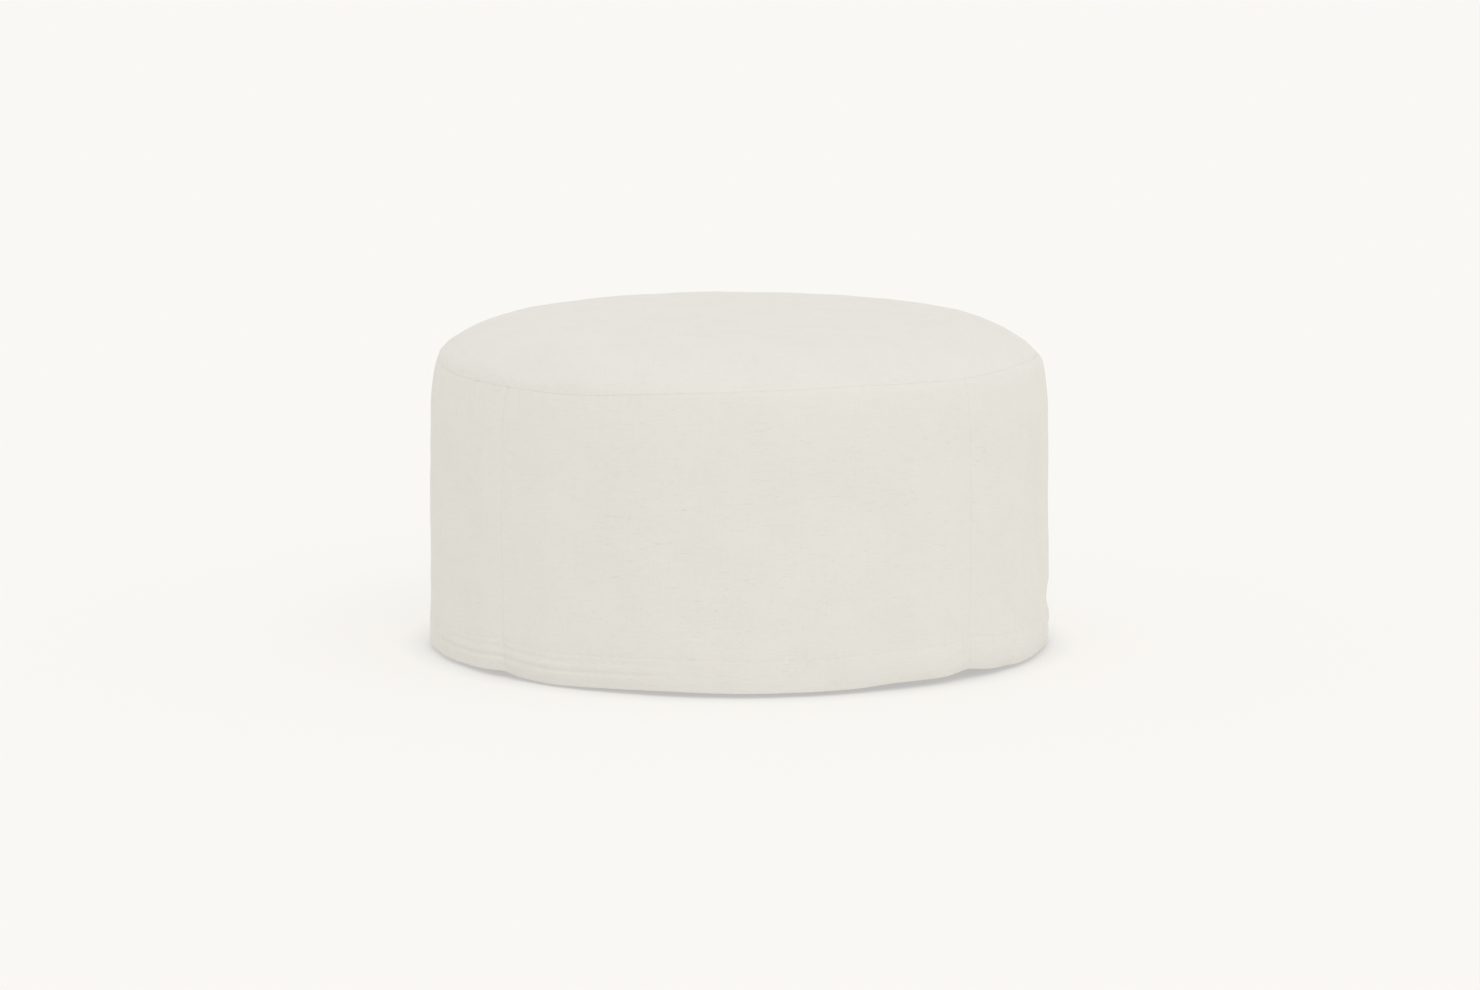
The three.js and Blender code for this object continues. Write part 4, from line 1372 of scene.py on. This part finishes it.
@dataclass
class Deck:
    """Eight interlaced jute straps nailed over the top ring, under a hessian sheet."""

    places: tuple[float, ...] = (-0.195, -0.065, 0.065, 0.195)
    reach: tuple[float, ...] = (0.321, 0.380, 0.380, 0.321)
    width: float = 0.060
    cloth: float = 1.6 * MM
    middle: float = 0.32312
    weave: float = 0.86 * MM
    pitch: float = 0.130
    nail: float = 3.2 * MM
    end_drop: float = 0.35 * MM
    hessian_cut: float = 0.81
    hessian_share: float = 0.785

    def build(self) -> list[Object]:
        """Builds the straps, their nails and the hessian."""
        straps = [self.strap(number, turned) for turned in (False, True) for number in range(4)]
        JUTE.dress(*straps)
        for number, strap in enumerate(straps):
            way = "along" if number > 3 else "across"
            hand_in(strap, "jute", f"webbing_{way}_{number % 4 + 1}")
        nails = self.nails()
        ZINC.dress(nails)
        hand_in(nails, "zinc")
        hessian = self.hessian()
        HESSIAN.dress(hessian)
        hand_in(hessian, "hessian", "hessian_deck")
        return [*straps, nails, hessian]

    def strap(self, number: int, turned: bool) -> Object:
        """Builds one strap, passing over and under the four that cross it.

        Args:
            number: which strap, from 0 to 3.
            turned: whether it runs from front to back.

        Returns:
            The strap.
        """
        reach, place = self.reach[number], self.places[number]
        along = np.linspace(-reach, reach, 97)[:, None]
        across = np.linspace(-self.width / 2, self.width / 2, 13)[None, :]
        inside = eased((reach - 0.045 - np.abs(along)) / 0.03)
        side = (-1.0) ** number * (-1.0 if turned else 1.0)
        lift = side * self.weave * np.cos(math.pi * (along - self.places[2]) / self.pitch) * inside
        height = self.middle + lift - self.end_drop * (1.0 - inside) + 0.0 * across
        line, offset = along + 0.0 * across, place + across + 0.0 * along
        points = np.stack([offset, line, height] if turned else [line, offset, height], axis=-1)
        faces = grid_faces(*height.shape)
        if turned:
            faces = [tuple(reversed(face)) for face in faces]
        flat = np.stack([across + 0.0 * along, line], axis=-1)
        strap = mesh_object(f"jute_strap_{'along' if turned else 'across'}_{number + 1}", points, faces, flat)
        wall = strap.modifiers.new("cloth", "SOLIDIFY")
        wall.thickness, wall.offset = self.cloth, 0.0
        apply_modifiers(strap)
        return strap

    def nails(self) -> Object:
        """Builds the clout nails at the ends of the straps, from one low head copied."""
        bpy.ops.object.select_all(action="DESELECT")
        bpy.ops.mesh.primitive_uv_sphere_add(segments=8, ring_count=4, radius=1.0)
        model = bpy.context.object
        shape = np.array([vertex.co[:] for vertex in model.data.vertices]) * (self.nail, self.nail, 0.5 * MM)
        faces = [tuple(face.vertices) for face in model.data.polygons]
        bpy.data.objects.remove(model)
        spots = []
        for place, reach in zip(self.places, self.reach):
            for end in (-1.0, 1.0):
                for step in (-0.020, 0.0, 0.020):
                    spot = (end * (reach - 0.014), place + step)
                    spots += [spot, spot[::-1]]
        top = self.middle - self.end_drop + self.cloth / 2
        centres = np.array([(x, y, top) for x, y in spots])
        points = (centres[:, None, :] + shape[None]).reshape(-1, 3)
        size = len(shape)
        starts = range(0, size * len(spots), size)
        every = [tuple(start + index for index in face) for start in starts for face in faces]
        return mesh_object("webbing_nails", points, every)

    def hessian(self) -> Object:
        """Builds the hessian, drawn tight over the straps."""
        columns = 144
        spin = (np.arange(columns) * 2.0 * math.pi / columns)[None, :]
        radius = np.linspace(0.404, 0.012, 60)[:, None] + 0.0 * spin
        x, y = radius * np.sin(spin), -radius * np.cos(spin)
        sag = 0.0
        for place in self.places:
            sag = sag + hump(x - place, 0.06) + hump(y - place, 0.06)
        height = 0.32615 - 0.12 * MM * np.clip(1.0 - sag, 0.0, 1.0)
        flat = np.stack([x, y], axis=-1)
        sheet = sheet_rings("hessian_sheet", radius, height, spin, flat, closed=True)
        thicken(sheet, 0.9 * MM)
        return sheet


@dataclass
class Drum:
    """The drum's own woodwork and fasteners, whose shapes come from the frame."""

    def build(self) -> None:
        """Finishes each wooden, board and metal node of the frame."""
        finishes = {
            BIRCH_PLY: ["top_ring", "bottom_ring"],
            FIBREBOARD: ["side_board"],
            PINE: ["cross_rail_lower"],
            PINE_TURNED: ["cross_rail_upper"],
            PINE_POST: self.numbered("post", POST_COUNT),
            NYLON: self.numbered("foot_glide", FOOT_COUNT),
            ZINC: self.numbered("hanger_bolt", FOOT_COUNT) + self.numbered("tee_nut", FOOT_COUNT),
        }
        for finish, names in finishes.items():
            finish.dress(*(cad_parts[name] for name in names))
        log.info("drum: %d nodes finished", sum(len(names) for names in finishes.values()))

    @staticmethod
    def numbered(title: str, count: int) -> list[str]:
        """Returns the names of a node's copies, counted from 1."""
        return [f"{title}_{number}" for number in range(1, count + 1)]


@dataclass
class Underside:
    """The black bottoming cloth with its staples, and the four turned feet."""

    cloth: float = 0.5 * MM
    level: float = 0.0521
    radius: float = 0.4165
    opening: float = 0.318
    sag: float = 3.6 * MM
    staples: int = 84
    staple_circle: float = 0.407
    staple_size: tuple[float, float, float] = (11.5 * MM, 0.9 * MM, 0.6 * MM)
    cut: float = 0.85
    cut_share: float = 0.78
    creases: Crumple = Crumple(0.03, 0.16, 41, 26)
    foot_profile: tuple[tuple[float, float], ...] = (
        (0.0225, 0.0053), (0.0245, 0.0060), (0.0253, 0.0080), (0.0256, 0.0120), (0.0268, 0.0200),
        (0.0282, 0.0290), (0.0294, 0.0370), (0.0300, 0.0400), (0.0283, 0.0418), (0.0278, 0.0432),
        (0.0292, 0.0446), (0.0308, 0.0460),
        (0.0310, 0.0492), (0.0304, 0.0508), (0.0294, 0.0513),
    )

    def build(self) -> list[Object]:
        """Builds the bottoming cloth, its staples and the feet."""
        cloth, staples = self.bottoming(), self.staple_row()
        CAMBRIC.dress(cloth)
        ZINC.dress(staples)
        hand_in(cloth, "cambric", "dust_cover")
        hand_in(staples, "zinc")
        feet = [self.foot(number) for number in range(1, FOOT_COUNT + 1)]
        for number, foot in enumerate(feet, 1):
            BEECH.dress(foot)
            hand_in(foot, "beech", f"foot_{number}")
        return [cloth, staples, *feet]

    def bottoming(self) -> Object:
        """Builds the cloth, which sags a little inside the ring and creases towards its staples."""
        columns = 336
        spin = (np.arange(columns) * 2.0 * math.pi / columns)[None, :]
        radius = np.linspace(0.010, self.radius, 72)[::-1, None] + 0.0 * spin
        x, y = radius * np.sin(spin), -radius * np.cos(spin)
        inside = eased((self.opening - radius) / 0.15)
        puckers = 0.30 * MM * (np.cos(self.staples * spin) - 1.0) * eased((radius - 0.37) / 0.03)
        height = self.level - self.sag * inside + 0.45 * MM * self.creases.at(x, y) * inside + puckers
        flat = np.stack([x, y], axis=-1)
        sheet = sheet_rings("bottoming_cloth", radius, height, spin, flat, closed=True)
        thicken(sheet, self.cloth)
        return sheet

    def staple_row(self) -> Object:
        """Builds the staples round the cloth's edge, from one staple copied."""
        bpy.ops.object.select_all(action="DESELECT")
        bpy.ops.mesh.primitive_cube_add(size=1.0)
        model = bpy.context.object
        model.data.transform(Matrix.Diagonal((*self.staple_size, 1.0)))
        bevel = model.modifiers.new("worn", "BEVEL")
        bevel.width, bevel.segments = 0.2 * MM, 1
        apply_modifiers(model)
        shape = np.array([vertex.co[:] for vertex in model.data.vertices])
        faces = [tuple(face.vertices) for face in model.data.polygons]
        bpy.data.objects.remove(model)
        spin = np.arange(self.staples) * 2.0 * math.pi / self.staples
        draw = np.random.default_rng(51)
        tilt = spin + draw.normal(0.0, 0.06, self.staples)
        height = np.full(self.staples, self.level - self.cloth - 0.1 * MM)
        place = self.staple_circle * np.stack([np.sin(spin), -np.cos(spin)])
        centre = np.stack([*place, height], axis=-1)
        ahead = np.stack([np.cos(tilt), np.sin(tilt), 0.0 * tilt], axis=-1)
        outward = np.stack([np.sin(tilt), -np.cos(tilt), 0.0 * tilt], axis=-1)
        points = (
            centre[:, None, :]
            + ahead[:, None, :] * shape[None, :, :1]
            - outward[:, None, :] * shape[None, :, 1:2]
            + np.array([0.0, 0.0, 1.0]) * shape[None, :, 2:]
        )
        size = len(shape)
        starts = range(0, size * self.staples, size)
        every = [tuple(start + index for index in face) for start in starts for face in faces]
        return mesh_object("bottoming_staples", points, every)

    def foot(self, number: int) -> Object:
        """Turns one foot, ring by ring, over its glide."""
        low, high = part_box(f"foot_{number}")
        centre = (low + high) / 2.0
        first = self.foot_profile[0]
        bpy.ops.object.select_all(action="DESELECT")
        bpy.ops.mesh.primitive_circle_add(
            vertices=64, radius=first[0], fill_type="NGON", location=(centre.x, centre.y, first[1])
        )
        foot = bpy.context.object
        foot.name = f"turned_foot_{number}"
        bpy.ops.object.transform_apply(location=True, rotation=True, scale=True)
        bpy.ops.object.mode_set(mode="EDIT")
        bpy.ops.mesh.select_all(action="SELECT")
        radius, height = first
        for wider, higher in self.foot_profile[1:]:
            bpy.ops.mesh.extrude_region_move(TRANSFORM_OT_translate={"value": (0.0, 0.0, higher - height)})
            scale = wider / radius
            bpy.ops.transform.resize(value=(scale, scale, 1.0), center_override=(centre.x, centre.y, higher))
            radius, height = wider, higher
        bpy.ops.mesh.select_all(action="SELECT")
        bpy.ops.mesh.normals_make_consistent(inside=False)
        bpy.ops.object.mode_set(mode="OBJECT")
        alone(foot)
        bpy.ops.object.shade_smooth_by_angle(angle=math.radians(38.0))
        return foot


# ---------------------------------------------------------------------------------------------
# The studio
# ---------------------------------------------------------------------------------------------


@dataclass
class Studio:
    """A pale floor with a painted contact shadow round the ottoman, soft daylight from the upper front right,
    and the camera.
    """

    distance: float = 7.79
    elevation: float = 8.83
    aim: float = 0.206
    lens: float = 135.5
    sideways: float = 0.0006
    floor_colour: Colour = (0.360, 0.353, 0.342)
    floor_glow: Colour = (0.582, 0.573, 0.556)
    floor_size: float = 120.0
    sky: float = 0.95
    sky_colour: Colour = (1.0, 0.995, 0.98)
    surround: Colour = (0.956, 0.939, 0.905)

    def build(self) -> None:
        """Sets up the floor, the sky, the lamps and the camera."""
        bpy.context.scene.view_settings.view_transform = "Standard"
        self.floor()
        self.world()
        self.lamp("key", azimuth=19.0, elevation=45.0, power=0.34, spread=40.0)
        self.lamp("right", azimuth=80.0, elevation=42.0, power=0.08, spread=50.0)
        self.camera()

    def floor(self) -> None:
        """Lays a floor wide enough to fill every view, whose glow dims near the ottoman as a painted contact
        shadow.
        """
        bpy.ops.object.select_all(action="DESELECT")
        bpy.ops.mesh.primitive_plane_add(size=self.floor_size)
        floor = bpy.context.object
        floor.name = "studio_floor"
        Backdrop("studio_paper_painted_shadow", self.floor_colour, self.floor_glow).dress(floor)

    def world(self) -> None:
        """Lights the scene evenly from the sky, and shows the camera the floor's own brightness."""
        world = bpy.data.worlds.new("studio_sky")
        bpy.context.scene.world = world
        world.use_nodes = True
        world.node_tree.nodes.clear()
        bench = Bench(world.node_tree)
        light = bench.node("ShaderNodeBackground", {"Color": (*self.sky_colour, 1.0), "Strength": self.sky})
        seen = bench.node("ShaderNodeBackground", {"Color": (*self.surround, 1.0), "Strength": 1.0})
        path = bench.node("ShaderNodeLightPath")
        mixed = bench.node("ShaderNodeMixShader", {0: path.outputs["Is Camera Ray"]})
        world.node_tree.links.new(light.outputs[0], mixed.inputs[1])
        world.node_tree.links.new(seen.outputs[0], mixed.inputs[2])
        output = bench.node("ShaderNodeOutputWorld")
        world.node_tree.links.new(mixed.outputs[0], output.inputs["Surface"])

    def lamp(self, name: str, azimuth: float, elevation: float, power: float, spread: float) -> None:
        """Adds a broad far lamp.

        Args:
            name: the lamp's name.
            azimuth: where it stands, in degrees from the front towards the right.
            elevation: how high it stands, in degrees.
            power: its strength.
            spread: how wide it looks from the ottoman, in degrees.
        """
        data = bpy.data.lights.new(name, "SUN")
        data.energy, data.angle = power, math.radians(spread)
        lamp = bpy.data.objects.new(name, data)
        bpy.context.scene.collection.objects.link(lamp)
        turn, rise = math.radians(azimuth), math.radians(elevation)
        towards = Vector((math.sin(turn) * math.cos(rise), -math.cos(turn) * math.cos(rise), math.sin(rise)))
        lamp.rotation_mode = "QUATERNION"
        lamp.rotation_quaternion = towards.to_track_quat("Z", "Y")

    def camera(self) -> None:
        """Places the camera, which looks slightly down at the ottoman's front."""
        data = bpy.data.cameras.new("camera")
        data.lens, data.sensor_width, data.shift_x = self.lens, 36.0, self.sideways
        camera = bpy.data.objects.new("camera", data)
        bpy.context.scene.collection.objects.link(camera)
        rise = math.radians(self.elevation)
        back = Vector((0.0, -math.cos(rise), math.sin(rise)))
        camera.location = Vector((0.0, 0.0, self.aim)) + back * self.distance
        camera.rotation_mode = "QUATERNION"
        camera.rotation_quaternion = back.to_track_quat("Z", "Y")
        data.clip_end = 200.0
        bpy.context.scene.camera = camera


def main() -> None:
    """Builds the ottoman from the outside in, then the studio round it."""
    logging.basicConfig(level=logging.INFO, format="%(message)s")
    outline = Outline()
    InnerCover(outline).build()
    Padding(outline).build()
    Deck().build()
    Drum().build()
    Underside().build()
    Slipcover(outline, Tailoring()).build()
    Studio().build()


if __name__ == "__main__":
    main()
